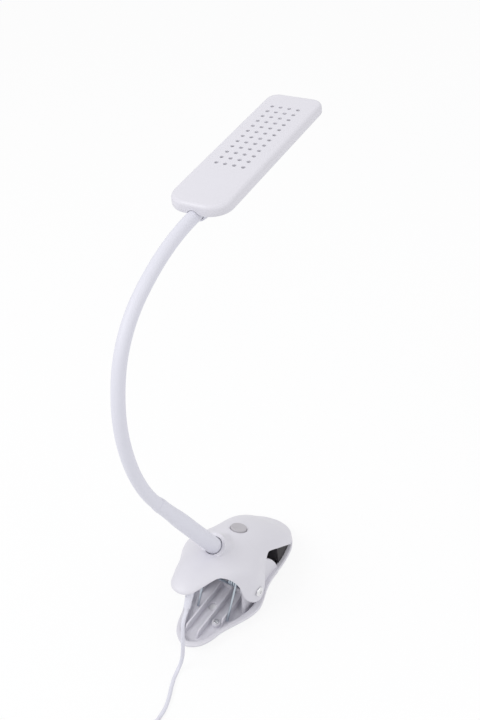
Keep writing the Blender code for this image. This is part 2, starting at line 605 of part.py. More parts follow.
def head_cover(white):
    """Top of the head: a crowned shell with rounded edges, 48 vents and two screw posts."""
    turn = np.linspace(0, math.pi / 2, 4)
    outside = [head_ring(HEAD_EDGE * (1 - math.sin(a)), HEAD_TOP_Z - HEAD_EDGE * (1 - math.cos(a)), HEAD_CROWN)
               for a in turn]
    inner_top = HEAD_TOP_Z - HEAD_WALL
    low = HEAD_BOTTOM_Z + BASE_FLOOR + GAP
    rings = outside + [head_ring(0, low), head_ring(HEAD_WALL, low),
                       head_ring(HEAD_WALL, inner_top - 0.0012), head_ring(HEAD_EDGE, inner_top - HEAD_CROWN)]
    obj = rings_object("head_cover", rings, white)
    for x, y in HEAD_SCREWS:
        post = ((0, low), (0.0024, low), (0.0024, inner_top + 0.0005), (0, inner_top + 0.0005))
        add(obj, turned("post", post, (x, y, 0), (0, 0, 1), white, 16))
        bore = SCREW_SHANK_RADIUS + GAP
        cut(obj, turned("post_hole", ((0, low - 0.001), (bore, low - 0.001), (bore, inner_top - 0.0008),
                                      (0, inner_top - 0.0008)), (x, y, 0), (0, 0, 1), white, 12))
    vents = []
    for row in range(VENT_ROWS):
        for column in range(VENT_COLUMNS):
            x = (column - (VENT_COLUMNS - 1) / 2) * VENT_PITCH_ACROSS
            y = VENT_CENTRE_Y + (row - (VENT_ROWS - 1) / 2) * VENT_PITCH_ALONG
            vents.append((x, y))
    verts, faces = [], []
    turn = np.linspace(0, 2 * math.pi, 6, endpoint=False)
    for x, y in vents:
        first = len(verts)
        for z in (inner_top - 0.002, HEAD_TOP_Z + 0.001):
            verts += [(x + VENT_RADIUS * math.cos(a), y + VENT_RADIUS * math.sin(a), z) for a in turn]
        faces += [(first + k, first + (k + 1) % 6, first + 6 + (k + 1) % 6, first + 6 + k) for k in range(6)]
        faces += [tuple(first + k for k in range(5, -1, -1)), tuple(first + 6 + k for k in range(6))]
    cut(obj, new_object("vents", verts, faces, white))
    cut(obj, turned("neck_notch", ((0, -0.02), (NECK_RADIUS + GAP, -0.02), (NECK_RADIUS + GAP, 0.02), (0, 0.02)),
                    neck_end(), (0, 1, 0), white))
    return obj


def neck_end():
    """Place on the neck's axis at the head's near end."""
    height = neck_point(CUFF_LENGTH + sum(length for length, _ in NECK_ARCS))[0][2]
    return np.array((0.0, HEAD_NEAR_Y, height))


def head_base(white):
    """Bottom of the head: a flat frame around the diffuser, with the neck's socket under its near end."""
    low, high = HEAD_BOTTOM_Z, HEAD_BOTTOM_Z + BASE_FLOOR
    obj = rings_object("head_base", [head_ring(0.0008, low), head_ring(0, low + 0.0008), head_ring(0, high)], white)
    seat = rounded_rectangle(DIFFUSER_WIDTH + 0.0040, DIFFUSER_LENGTH + 0.0040, 0.0030, DIFFUSER_Y)
    add(obj, prism("board_seat", seat, high - 0.0005, high + BOARD_LIFT - GAP, white, "Z"))
    window = rounded_rectangle(DIFFUSER_WIDTH + 2 * GAP, DIFFUSER_LENGTH + 2 * GAP, 0.003, DIFFUSER_Y)
    cut(obj, prism("window", window, low - 0.01, high + 0.01, white, "Z"))
    axis_z = neck_end()[2]
    socket = ((0, SOCKET_START_Y), (SOCKET_RADIUS - 0.0006, SOCKET_START_Y), (SOCKET_RADIUS, SOCKET_START_Y + 0.0008),
              (SOCKET_RADIUS, SOCKET_START_Y + SOCKET_LENGTH * 0.45), (SOCKET_RADIUS * 0.7, SOCKET_START_Y + SOCKET_LENGTH * 0.8),
              (0.0012, SOCKET_START_Y + SOCKET_LENGTH), (0, SOCKET_START_Y + SOCKET_LENGTH))
    barrel = turned("socket", socket, (0, 0, axis_z), (0, 1, 0), white, 24)
    top = block("above", (0, SOCKET_START_Y + SOCKET_LENGTH / 2, high + 0.01), (0.03, 0.06, 0.02), white)
    cut(barrel, top)
    add(obj, barrel)
    bore = NECK_RADIUS + GAP
    tube_end = neck_tip_y() + GAP
    cut(obj, turned("neck_bore", ((0, HEAD_NEAR_Y - 0.02), (bore, HEAD_NEAR_Y - 0.02), (bore, tube_end), (0, tube_end)),
                    (0, 0, axis_z), (0, 1, 0), white))
    for x, y in HEAD_SCREWS:
        cut(obj, screw_hole("screw_hole", (x, y, low), (0, 0, 1), high + 0.001 - low, white))
    return obj


def screw_hole(name, mouth, inward, depth, look):
    """Cutter for a screw: a seat for its head, then a clearance hole."""
    bore = SCREW_SHANK_RADIUS + GAP
    sink = SCREW_HEAD_RADIUS + GAP
    seat = SCREW_HEAD_HEIGHT + GAP
    return turned(name, ((0, -0.002), (sink, -0.002), (sink, seat), (bore, seat), (bore, depth), (0, depth)),
                  mouth, inward, look, 16)


def neck_tip_y():
    return float(neck_point(CUFF_LENGTH + sum(length for length, _ in NECK_ARCS))[0][1])


def head_collar(white):
    """Short ring on the neck's tip, where it enters the head's socket."""
    inner, outer = NECK_RADIUS + GAP, SOCKET_RADIUS - 0.0004
    near = SOCKET_START_Y - GAP
    profile = ((inner, near - 0.0016), (outer - 0.0003, near - 0.0016), (outer, near - 0.0012), (outer, near), (inner, near))
    ring = turned("head_collar", profile, (0, 0, neck_end()[2]), (0, 1, 0), white, 24, wrap=True)
    above = HEAD_BOTTOM_Z - GAP
    cut(ring, block("above", (0, near, above + 0.01), (0.03, 0.02, 0.02), white))
    return ring


def led_board(green):
    """Circuit board over the diffuser with its two columns of light-emitting diodes, as one solid."""
    low = HEAD_BOTTOM_Z + BASE_FLOOR + BOARD_LIFT
    board = block("led_board", (0, DIFFUSER_Y, low + BOARD_THICKNESS / 2),
                  (DIFFUSER_WIDTH + 0.0030, DIFFUSER_LENGTH + 0.0030, BOARD_THICKNESS), green)
    pitch = (DIFFUSER_LENGTH - 0.012) / (LED_ROWS - 1)
    for row in range(LED_ROWS):
        y = DIFFUSER_Y + (row - (LED_ROWS - 1) / 2) * pitch
        for x in (-DIFFUSER_WIDTH / 4, DIFFUSER_WIDTH / 4):
            add(board, block("led", (x, y, low - LED_HEIGHT / 2 + 0.0001), (LED_SIZE, LED_SIZE, LED_HEIGHT + 0.0002), green))
    return board


def diffuser(milky):
    """Milky plate that fills the window in the head's base."""
    low = HEAD_BOTTOM_Z + 0.0002
    outline = rounded_rectangle(DIFFUSER_WIDTH, DIFFUSER_LENGTH, 0.003, DIFFUSER_Y)
    return prism("diffuser", outline, low, HEAD_BOTTOM_Z + BASE_FLOOR - 0.0001, milky, "Z")


def screw(name, mouth, inward, steel, length=SCREW_LENGTH):
    """Cross-head screw seated in its hole, with a slot across its face."""
    head, shank = SCREW_HEAD_RADIUS, SCREW_SHANK_RADIUS
    profile = ((0, 0), (head - 0.0003, 0), (head, 0.0003), (head, SCREW_HEAD_HEIGHT), (shank, SCREW_HEAD_HEIGHT),
               (shank, length), (0, length))
    made = turned(name, profile, mouth, inward, steel, 12)
    return made


# ---------------------------------------------------------------- clip insides
def pad_outline(outline, inset, rear_y):
    """Front part of a shell's plan outline, set in from its edge and cut off square behind."""
    loop = closed_outline(outline, 3)
    spine = np.column_stack([np.zeros(len(loop)), np.clip(loop[:, 1], SPINE_REAR_Y, SPINE_FRONT_Y)])
    away = loop - spine
    reach = np.linalg.norm(away, axis=1, keepdims=True)
    inner = spine + away * (1 - inset / reach)
    front = inner[inner[:, 1] > rear_y + 0.001]
    right = front[front[:, 0] > 0][0][0]
    return np.vstack([(right, rear_y), front, (-right, rear_y)])


def grip_grooves(pad, face_z, black):
    """Cut the grip grooves across a jaw pad's face."""
    for step in range(GROOVES):
        place = (0, JAW_PAD_REAR + GROOVE_START + step * GROOVE_PITCH, face_z)
        cut(pad, block("groove", place, (0.08, GROOVE_WIDTH, GROOVE_WIDTH * 0.7), black))
    return pad


def inner_tray(white):
    """Cover under the dome that closes the switch's compartment."""
    return prism("inner_cover", rounded_rectangle(TRAY_WIDTH, TRAY_LENGTH, 0.004, 0.0), -TRAY_THICKNESS / 2,
                 TRAY_THICKNESS / 2, white, "Z")


def tray_turn():
    """Places the inner cover parallel to the button's face, under the dome."""
    return Matrix.Translation(Vector(along_button(-TRAY_DEPTH, TRAY_FORWARD))) @ Matrix.Rotation(BUTTON_TILT, 4, "X")


def along_button(height, y=0.0, x=0.0):
    """Place above the inner cover, in the button's own tilted frame."""
    centre, direction = button_place()
    forward = np.array((0.0, math.cos(BUTTON_TILT), math.sin(BUTTON_TILT)))
    return centre + direction * height + forward * y + np.array((x, 0, 0))


def tilted_block(name, size, height, look, y=0.0, x=0.0):
    """Block whose middle stands at a height on the button's axis, square to it."""
    made = block(name, (0, 0, 0), size, look)
    made.data.transform(Matrix.Translation(Vector(along_button(height, y, x))) @ Matrix.Rotation(BUTTON_TILT, 4, "X"))
    return made


def button_cap(grey):
    """Round push button with a dished face, and a flange inside that keeps it in the shell."""
    centre, direction = button_place()
    r = BUTTON_RADIUS
    profile = ((0, 0.0004), (r * 0.72, 0.0007), (r - 0.0006, 0.0008), (r, 0.0003), (r, -0.0036), (r + 0.0010, -0.0036),
               (r + 0.0010, -0.0046), (0.0018, -0.0046), (0.0018, -0.0052), (0, -0.0052))
    return turned("button_cap", profile, centre, direction, grey, 32)


def tangent_angle(point, side):
    """Angle about the pin at which a straight wire from a point touches the spring's coil."""
    away = np.array(point) - (HINGE_Y, HINGE_Z)
    return math.atan2(away[1], away[0]) + side * math.acos(COIL_RADIUS / np.linalg.norm(away))


def torsion_spring(steel):
    """Double torsion spring about the pin: a bridge under the upper handle, two coils and two legs."""
    pitch = 2 * WIRE_RADIUS + GAP
    bridge = np.array(SPRING_BRIDGE)
    foot = np.array((SPRING_REST_Y, LOWER_WALL + GAP + WIRE_RADIUS))
    first = tangent_angle(bridge, 1)
    last = tangent_angle(foot, -1) + 2 * math.pi * (COIL_TURNS + 1)
    last -= 2 * math.pi * round((last - first - 2 * math.pi * (COIL_TURNS + 0.85)) / (2 * math.pi))
    turn = np.linspace(first, last, int(12 * (last - first) / (2 * math.pi)) + 1)
    x = COIL_START_X + pitch * (turn - first) / (2 * math.pi)
    coil = np.column_stack([x, HINGE_Y + COIL_RADIUS * np.cos(turn), HINGE_Z + COIL_RADIUS * np.sin(turn)])
    half = np.vstack([(0.0, *bridge), (COIL_START_X, *(bridge + (0.0004, -0.0012))), coil, (coil[-1][0], *foot)])
    other = half[1:][::-1] * (-1, 1, 1)
    return wire("clip_spring", np.vstack([other, half]), WIRE_RADIUS, steel, 1)


def wire(name, points, radius, look, resolution=2):
    """Round wire or cord along its points, with filled caps."""
    curve = bpy.data.curves.new(name, "CURVE")
    curve.dimensions = "3D"
    curve.bevel_depth = radius
    curve.bevel_resolution = resolution
    curve.use_fill_caps = True
    spline = curve.splines.new("POLY")
    spline.points.add(len(points) - 1)
    for place, point in zip(spline.points, points):
        place.co = (*point, 1.0)
    curve.materials.append(look)
    obj = bpy.data.objects.new(name, curve)
    bpy.context.scene.collection.objects.link(obj)
    return obj


def hinge_pin(steel):
    """Pin through the four ears, with a domed head on the right."""
    seat = UPPER_EAR_X + GAP
    head = PIN_HEAD_RADIUS
    profile = ((0, -seat - PIN_HEAD_THICKNESS), (PIN_RADIUS, -seat - PIN_HEAD_THICKNESS), (PIN_RADIUS, seat),
               (head, seat), (head, seat + PIN_HEAD_THICKNESS * 0.5), (head * 0.7, seat + PIN_HEAD_THICKNESS * 0.9),
               (0, seat + PIN_HEAD_THICKNESS))
    return turned("hinge_pin", profile, HINGE, (1, 0, 0), steel, 20)


def pin_cap(steel):
    """Push-on ring that keeps the pin's left end."""
    near, far = UPPER_EAR_X + GAP, UPPER_EAR_X + GAP + PIN_HEAD_THICKNESS * 0.6
    inner, outer = PIN_RADIUS + GAP, PIN_HEAD_RADIUS
    return turned("pin_cap", ((inner, near), (outer, near), (outer, far), (inner, far)), HINGE, (-1, 0, 0), steel, 20,
                  wrap=True)


def neck_nut(white):
    """Nut inside the clip that clamps the cuff's tail against the boss."""
    inner = CUFF_ENTRY_RADIUS + GAP
    low, high = -CUFF_TAIL, -CUFF_TAIL + NUT_HEIGHT
    profile = ((inner, low), (inner + 0.0026, low), (inner + 0.0026, high), (inner, high))
    return turned("neck_nut", profile, NECK_ENTRY, neck_direction(0.0), white, 20, wrap=True)


def strain_relief(white):
    """Tapered sleeve under the upper handle that the cord hangs from."""
    bore = CORD_RADIUS + GAP
    profile = ((bore, 0.0), (RELIEF_FLANGE_RADIUS, 0.0), (RELIEF_FLANGE_RADIUS, 0.0022), (0.0028, 0.0030), (CORD_RADIUS + 0.0009, RELIEF_LENGTH),
               (bore, RELIEF_LENGTH))
    return turned("strain_relief", profile, CORD_EXIT, CORD_EXIT_DIRECTION, white, 16, wrap=True)


def cord_tube(white):
    """Cord from inside its strain relief, down behind the handles and along the table to the coil."""
    along = np.array(CORD_EXIT_DIRECTION) / np.linalg.norm(CORD_EXIT_DIRECTION)
    straight = [np.array(CORD_EXIT) + along * share * RELIEF_LENGTH for share in (0.06, 0.4, 0.75, 1.1)]
    return wire("cord", smooth_path(straight + list(CORD_ROUTE), 4), CORD_RADIUS, white, 2)


def cord_coil(white):
    """Outer shape of the wound cord, a turned ring with rounded corners."""
    inner = CORD_COIL_MEAN_RADIUS - CORD_COIL_HALF_WIDTH
    outer = CORD_COIL_MEAN_RADIUS + CORD_COIL_HALF_WIDTH
    top, soft = CORD_COIL_HEIGHT, 0.0013
    profile = ((inner + soft, 0), (outer - soft, 0), (outer, soft), (outer, top - soft), (outer - soft, top),
               (inner + soft, top), (inner, top - soft), (inner, soft))
    return turned("cord_coil", profile, (*CORD_COIL_CENTRE, 0.0), (0, 0, 1), white, 32, wrap=True)


def cord_tie(black):
    """Strap around the coil on the side away from the lamp."""
    x, y = CORD_COIL_CENTRE
    bulge = CORD_COIL_MEAN_RADIUS - CORD_COIL_HALF_WIDTH
    bulge -= math.sqrt(bulge**2 - (TIE_WIDTH / 2)**2)
    half, top = CORD_COIL_HALF_WIDTH + bulge + GAP, CORD_COIL_HEIGHT + GAP
    thick = 0.0010
    mid = y - CORD_COIL_MEAN_RADIUS
    outer = ((mid - half - thick, 0.0), (mid + half + thick, 0.0), (mid + half + thick, top + thick), (mid - half - thick, top + thick))
    inner = ((mid - half, -0.001), (mid + half, -0.001), (mid + half, top), (mid - half, top))
    tie = prism("cord_tie", outer, x - TIE_WIDTH / 2, x + TIE_WIDTH / 2, black)
    cut(tie, prism("inside", inner, x - 0.02, x + 0.02, black))
    return tie


def cord_tail(white):
    """Last of the cord: off the coil's top, round a bend and into the plug that lies on the coil."""
    x, y = CORD_COIL_CENTRE
    turn = np.radians((150, 180, 210, 240, 270))
    mid_x = x - PLUG_SIZE[1] / 2 - GAP - TAIL_STRAIGHT
    bend = np.column_stack([mid_x + TAIL_BEND * np.cos(turn), y + PLUG_LINE + TAIL_BEND + TAIL_BEND * np.sin(turn),
                            TAIL_HEIGHTS])
    return wire("cord_tail", smooth_path(list(bend) + [bend[-1] + (TAIL_STRAIGHT, 0, 0)], 2), CORD_RADIUS, white, 2)


def plug_middle():
    x, y = CORD_COIL_CENTRE
    return x, y + PLUG_LINE, TAIL_HEIGHTS[-1]


def plug_body(white):
    """Moulded body of the plug, lying on the coil."""
    x, y, z = plug_middle()
    width, length, height = PLUG_SIZE
    outline = rounded_rectangle(width, length, 0.003, 0.0)[:, ::-1] * (1, -1)
    return prism("plug_body", outline + (x, y), z - height / 2, z + height / 2, white, "Z")


def plug_shell(steel):
    """Metal shell of the plug, an open box on the body's end."""
    x, y, z = plug_middle()
    width, length, height = PLUG_SHELL
    start = x + PLUG_SIZE[1] / 2 + GAP
    shell = block("plug_shell", (start + length / 2, y, z), (length, width, height), steel)
    cut(shell, block("inside", (start + length / 2 + 0.002, y, z), (length, width - 0.0008, height - 0.0008), steel))
    add(shell, block("tongue", (start + length / 2, y, z + 0.0006), (length * 0.9, width - 0.0002, 0.0016), steel))
    return shell


# ---------------------------------------------------------------- assembly
def build():
    for obj in list(bpy.data.objects):
        bpy.data.objects.remove(obj)
    white = material("white_plastic", (0.83, 0.83, 0.86), 0.42)
    soft_white = material("white_sleeve", (0.80, 0.80, 0.84), 0.50)
    grey = material("grey_button", (0.55, 0.55, 0.58), 0.45)
    chrome = material("polished_steel", (0.72, 0.72, 0.74), 0.18, 1.0)
    spring_steel = material("spring_steel", (0.55, 0.58, 0.62), 0.30, 1.0)
    black = material("black_rubber", (0.02, 0.02, 0.022), 0.75)
    milky = material("milky_diffuser", (0.92, 0.92, 0.90), 0.35)
    green = material("circuit_board", (0.90, 0.90, 0.86), 0.50)

    lamp = pivot("lamp", (0, 0, 0))
    lamp.location = (NECK_ENTRY_X, NECK_ENTRY_Y, 0)
    neck = pivot("neck_turn", (0, 0, 0), lamp)
    neck.rotation_euler.z = NECK_YAW
    lower = pivot("lower_pivot", HINGE, lamp)
    button_centre, button_out = button_place()
    button = pivot("button_slide", button_centre, lamp)
    links = []
    parent = neck
    for joint in NECK_JOINTS:
        parent = pivot("neck_pivot", neck_point(joint)[0], parent)
        links.append(parent)
    head = links[-1]

    for piece in (neck_nut(white), neck_cuff(soft_white),
                  neck_core(0, -CUFF_TAIL, NECK_JOINTS[0], spring_steel, False, True)):
        attach(piece, neck)
    for piece in (upper_shell(white), inner_cover(white), upper_jaw_pad(black), hinge_pin(chrome), pin_cap(chrome),
                  switch_board(green), tact_switch(black), strain_relief(soft_white), cord_coil(soft_white), cord_tie(black),
                  plug_body(white), plug_shell(chrome), *tray_screws(chrome)):
        attach(piece, lamp)
    for piece in (torsion_spring(spring_steel), cord_tube(soft_white), cord_tail(soft_white)):
        piece.parent = lamp
    attach(button_cap(grey), button)
    for piece in (lower_shell(white), lower_jaw_pad(black), lower_screw(chrome)):
        attach(piece, lower)
    neck_far = CUFF_LENGTH + sum(length for length, _ in NECK_ARCS)
    ends = (*NECK_JOINTS[1:], neck_far)
    for number, (start, end, link) in enumerate(zip(NECK_JOINTS, ends, links), 1):
        ball = number < len(links)
        attach(neck_core(number, start, end, spring_steel, True, ball), link)
        attach(neck_sleeve(number, start, end, soft_white, True, ball), link)
    for piece in (head_cover(white), head_base(white), diffuser(milky), led_board(green), head_collar(soft_white),
                  *head_screws(chrome)):
        attach(piece, head)


def inner_cover(white):
    """Cover under the dome that closes the switch's compartment, fixed by two screws."""
    tray = inner_tray(white)
    for x, y in TRAY_SCREWS:
        cut(tray, rod("hole", SCREW_SHANK_RADIUS + GAP, -0.01, 0.01, (x, y - TRAY_FORWARD, 0), (0, 0, 1),
                      white, 12))
    tray.data.transform(tray_turn())
    return tray


def tray_screws(steel):
    direction = button_place()[1]
    under = -TRAY_DEPTH - TRAY_THICKNESS / 2 - GAP - SCREW_HEAD_HEIGHT
    return [screw(f"cover_screw_{number}", along_button(under, y, x), direction, steel)
            for number, (x, y) in enumerate(TRAY_SCREWS, 1)]


def head_screws(steel):
    return [screw(f"head_screw_{number}", (x, y, HEAD_BOTTOM_Z + 0.0001), (0, 0, 1), steel)
            for number, (x, y) in enumerate(HEAD_SCREWS, 1)]


def lower_screw(steel):
    top = SCREW_POST_Z + GAP + SCREW_HEAD_HEIGHT
    return screw("lower_screw", (LOWER_SCREW_X, LOWER_SCREW_Y, top), (0, 0, -1), steel)


def switch_board(green):
    return tilted_block("switch_board", (0.0150, 0.0130, 0.0012), BOARD_HEIGHT, green)


def tact_switch(black):
    body = BOARD_HEIGHT + 0.0006 + GAP + 0.0010
    made = tilted_block("tact_switch", (0.0060, 0.0060, 0.0020), body, black)
    centre, direction = button_place()
    stem_top = -0.0052 - BUTTON_TRAVEL - GAP
    add(made, rod("stem", 0.0016, body, stem_top, centre, direction, black, 12))
    return made


def lower_jaw_pad(black):
    outline = pad_outline(LOWER_OUTLINE, LOWER_PAD_INSET, JAW_PAD_REAR)
    high = LOWER_RIM_Z
    return grip_grooves(prism("lower_jaw_pad", outline, LOWER_WALL + GAP, high, black, "Z"), high, black)


def upper_jaw_pad(black):
    """Black pad that fills the upper jaw, its face just above the lower jaw's."""
    low = LOWER_RIM_Z + GAP
    pad = dome("upper_jaw_pad", closed_outline(UPPER_OUTLINE, 3), UPPER_WALL + PAD_CLEARANCE, -0.02, black)
    cut(pad, block("behind", (0, JAW_PAD_REAR - 0.1, 0.05), (0.1, 0.2, 0.2), black),
        block("below", (0, 0, low - 0.05), (0.1, 0.3, 0.1), black))
    return grip_grooves(pad, low, black)


build()
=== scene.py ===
"""Clip-on reading lamp: the visible pieces, their finishes and the stage, built around the packed frame.

Lengths are in metres and +Z is up. Clip pieces are worked out in lamp coordinates, whose origin is
under the place where the neck enters the clip. Neck and head pieces are also turned about the
vertical through that place. Every finished piece keeps its object at the world's origin.
"""
import math

import bmesh
import bpy
import numpy as np
from bpy.props import FloatProperty, FloatVectorProperty, IntProperty, PointerProperty
from mathutils import Matrix, Vector


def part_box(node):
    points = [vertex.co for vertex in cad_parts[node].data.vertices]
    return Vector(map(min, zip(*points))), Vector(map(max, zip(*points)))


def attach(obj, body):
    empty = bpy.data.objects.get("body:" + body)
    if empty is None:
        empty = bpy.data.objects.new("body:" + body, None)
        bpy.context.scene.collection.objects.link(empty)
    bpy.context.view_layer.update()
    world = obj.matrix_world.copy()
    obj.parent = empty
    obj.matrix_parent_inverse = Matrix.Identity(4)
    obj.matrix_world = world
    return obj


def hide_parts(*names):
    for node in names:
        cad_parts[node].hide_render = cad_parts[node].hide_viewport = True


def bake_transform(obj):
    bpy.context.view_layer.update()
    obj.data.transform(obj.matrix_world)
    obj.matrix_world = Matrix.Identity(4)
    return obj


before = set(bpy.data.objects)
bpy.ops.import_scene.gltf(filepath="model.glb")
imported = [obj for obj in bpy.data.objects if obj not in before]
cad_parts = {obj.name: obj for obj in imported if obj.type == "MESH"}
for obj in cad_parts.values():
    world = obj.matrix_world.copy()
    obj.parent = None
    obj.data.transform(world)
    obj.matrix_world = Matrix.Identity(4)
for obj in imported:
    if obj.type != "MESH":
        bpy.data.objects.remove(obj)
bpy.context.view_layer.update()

bl_info = {
    "name": "Clip-on Reading Lamp",
    "version": (1, 0, 0),
    "blender": (4, 5, 0),
    "location": "View3D > Sidebar > Lamp",
    "description": "Makes a clip-on reading lamp with a bendable neck, piece by piece",
    "category": "Object",
}

# ---------------------------------------------------------------- places shared with the frame
ENTRY = np.array((0.0022, -0.0495, 0.0))    # world place under the neck's entry into the clip
ENTRY_Z = 0.0622
YAW = math.radians(6.0)
GAP = 0.0003
HINGE = np.array((0.0, 0.0058, 0.0248))
LOBE_RADIUS = 0.0068        # of the lower ears about the pin
RIBS = ((-0.0080, -0.0350), (0.0016, -0.0350), (0.0104, -0.0190))    # place across, and rear end
LOWER_SCREW = np.array((0.0072, -0.0185, 0.0))
PAN_HOLE = np.array((-0.0042, -0.0075, 0.0))
SPINE = (-0.0240, 0.0500)
CUFF_HEADING = math.radians(116.6)
CUFF_LENGTH = 0.099
CUFF_TAIL = 0.0215
NECK_ARCS = ((0.066, -27.6), (0.040, -23.5), (0.040, -39.5), (0.054, -26.0), (0.022, 0.0))
NECK_JOINTS = (0.104, 0.142, 0.180, 0.216, 0.250, 0.284)
NECK_LENGTH = CUFF_LENGTH + sum(length for length, _ in NECK_ARCS)
SLEEVE_RADIUS = 0.00375     # of the neck, and of the bores that take it
LIP_RADIUS = 0.0086
CUFF_RADIUS = 0.00555
HEAD_NEAR = 0.0340
HEAD_THICKNESS = 0.0070
HEAD_WALL = 0.0015
VENT_PITCH = (0.005625, 0.00619)
VENTS_MIDDLE = 0.1099
VENT_OVAL = 0.9             # a vent's width along the head against its width across
DIFFUSER = (0.0260, 0.0880, 0.1040)     # width, length and middle along y
SOCKET = (0.0400, 0.0170, 0.0056)       # near end, length and radius of the neck's socket
BUTTON_Y = 0.0273
BUTTON_TILT = math.radians(-24.0)
BUTTON_RADIUS = 0.0056
TRAY_POSTS = ((-0.0115, 0.0055), (0.0115, 0.0055))
CORD_EXIT = np.array((0.0039, -0.0312, 0.0569))
CORD_HEADING = np.array((0.095, -0.613, -0.78)) / np.linalg.norm((0.095, -0.613, -0.78))
RELIEF_LENGTH = 0.0140
CORD_ROUTE = ((0.0065, -0.0466, 0.0408), (0.0075, -0.0501, 0.0345), (0.0080, -0.0522, 0.0275),
              (0.0078, -0.0536, 0.0200), (0.0067, -0.0546, 0.0120), (0.0055, -0.0562, 0.0058),
              (0.0051, -0.0598, 0.0022), (0.0062, -0.0652, 0.0015), (0.0087, -0.0715, 0.0015),
              (0.0118, -0.0782, 0.0015), (0.0142, -0.0854, 0.0015), (0.0150, -0.0930, 0.0015),
              (0.0146, -0.1000, 0.0015), (0.01395, -0.1066, 0.0015))
COIL_CENTRE = np.array((0.0320, -0.1190, 0.0))
COIL_LAYERS = (0.0013, 0.00395, 0.0066, 0.0093)
COIL_OUTER = 0.0189
COIL_INNER = 0.0105
TAIL_BEND = 0.0055
TAIL_CENTRE = COIL_CENTRE + (-0.01255, 0.0066, 0.0)
TAIL_HEIGHTS = (0.01245, 0.0129, 0.0136, 0.0143, 0.0148)
PLUG_CENTRE = COIL_CENTRE + (0.0, 0.0011, 0.0148)
UNDER_PAN = 0.0110      # radius of the floor that only the hole in the pan shows

UPPER_OUTLINE = ((0, -0.0400), (0.0052, -0.0388), (0.0088, -0.0352), (0.0112, -0.0295), (0.0137, -0.0240),
                 (0.0166, -0.0180), (0.0198, -0.0120), (0.0238, -0.0055), (0.0272, 0.0020), (0.0278, 0.0080),
                 (0.0262, 0.0145), (0.0236, 0.0200), (0.0218, 0.0265), (0.0212, 0.0350), (0.0213, 0.0450),
                 (0.0202, 0.0530), (0.0186, 0.0595), (0.0150, 0.0655), (0.0085, 0.0705), (0, 0.0726))
LOWER_OUTLINE = ((0, -0.0452), (0.0052, -0.0436), (0.0102, -0.0395), (0.0138, -0.0330), (0.0164, -0.0245),
                 (0.0205, -0.0162), (0.0243, -0.0088), (0.0270, -0.0018), (0.0279, 0.0045), (0.0268, 0.0100),
                 (0.0253, 0.0148), (0.0236, 0.0200), (0.0224, 0.0265), (0.0219, 0.0350), (0.0218, 0.0440),
                 (0.0209, 0.0520), (0.0192, 0.0590), (0.0150, 0.0660), (0.0088, 0.0708), (0, 0.0728))
RIDGE = ((-0.0400, 0.0632), (-0.028, 0.0634), (-0.012, 0.0618), (0.000, 0.0590), (0.013, 0.0557),
         (0.0273, 0.0509), (0.038, 0.0452), (0.047, 0.0384), (0.055, 0.0310), (0.063, 0.0226),
         (0.069, 0.0178), (0.0726, 0.0148))
DROP = ((-0.0400, 0.0044), (-0.028, 0.0062), (-0.014, 0.0110), (0.004, 0.0160), (0.025, 0.0160),
        (0.040, 0.0140), (0.053, 0.0110), (0.066, 0.0066), (0.0726, 0.0044))
# lower edge of the upper shell from the side: the arch, the round ear and the throat
SIDE_EDGE = ((-0.060, 0.0586), (-0.0380, 0.0586), (-0.0280, 0.0584), (-0.0200, 0.0576), (-0.0155, 0.0560),
             (-0.0118, 0.0520), (-0.0088, 0.0460), (-0.0066, 0.0385), (-0.0056, 0.0305), (-0.0036, 0.0238),
             (0.0000, 0.0185), (0.0048, 0.0162), (0.0086, 0.0163), (0.0124, 0.0180), (0.0156, 0.0200),
             (0.0184, 0.0230), (0.0210, 0.0262), (0.0236, 0.0306), (0.0262, 0.0346), (0.0294, 0.0362),
             (0.0337, 0.0336), (0.0391, 0.0293), (0.0465, 0.0235), (0.0535, 0.0168), (0.0585, 0.0122),
             (0.0640, 0.0096), (0.0680, 0.0094), (0.0900, 0.0094))


# ---------------------------------------------------------------- settings
class ClipSettings(bpy.types.PropertyGroup):
    """Sizes of the two clip shells and of what joins them."""
    wall: FloatProperty(name="Upper wall", description="Thickness of the upper shell's wall",
                        default=0.0020, unit="LENGTH")
    pan_wall: FloatProperty(name="Pan wall", description="Thickness of the lower shell's floor",
                            default=0.0022, unit="LENGTH")
    rim_height: FloatProperty(name="Rim height", description="Height of the lower shell's flange",
                              default=0.0090, unit="LENGTH")
    flange: FloatProperty(name="Flange", description="Thickness of the lower shell's flange",
                          default=0.0024, unit="LENGTH")
    edge: FloatProperty(name="Edge radius", description="Rounding of the moulded edges",
                        default=0.0005, unit="LENGTH")
    pin_radius: FloatProperty(name="Pin radius", description="Radius of the hinge pin",
                              default=0.0020, unit="LENGTH")
    wire_radius: FloatProperty(name="Spring wire", description="Radius of the spring's wire",
                               default=0.0008, unit="LENGTH")
    spring_turns: IntProperty(name="Spring turns", description="Turns in each of the spring's coils",
                              default=3)


class NeckSettings(bpy.types.PropertyGroup):
    """Sizes of the bendable neck."""
    radius: FloatProperty(name="Radius", description="Outer radius of the neck's sleeve",
                          default=SLEEVE_RADIUS, unit="LENGTH")
    wall: FloatProperty(name="Wall", description="Thickness of the neck's sleeve",
                        default=0.00125, unit="LENGTH")
    cuff_tip: FloatProperty(name="Cuff tip", description="Radius of the cuff's thin end",
                            default=0.00405, unit="LENGTH")


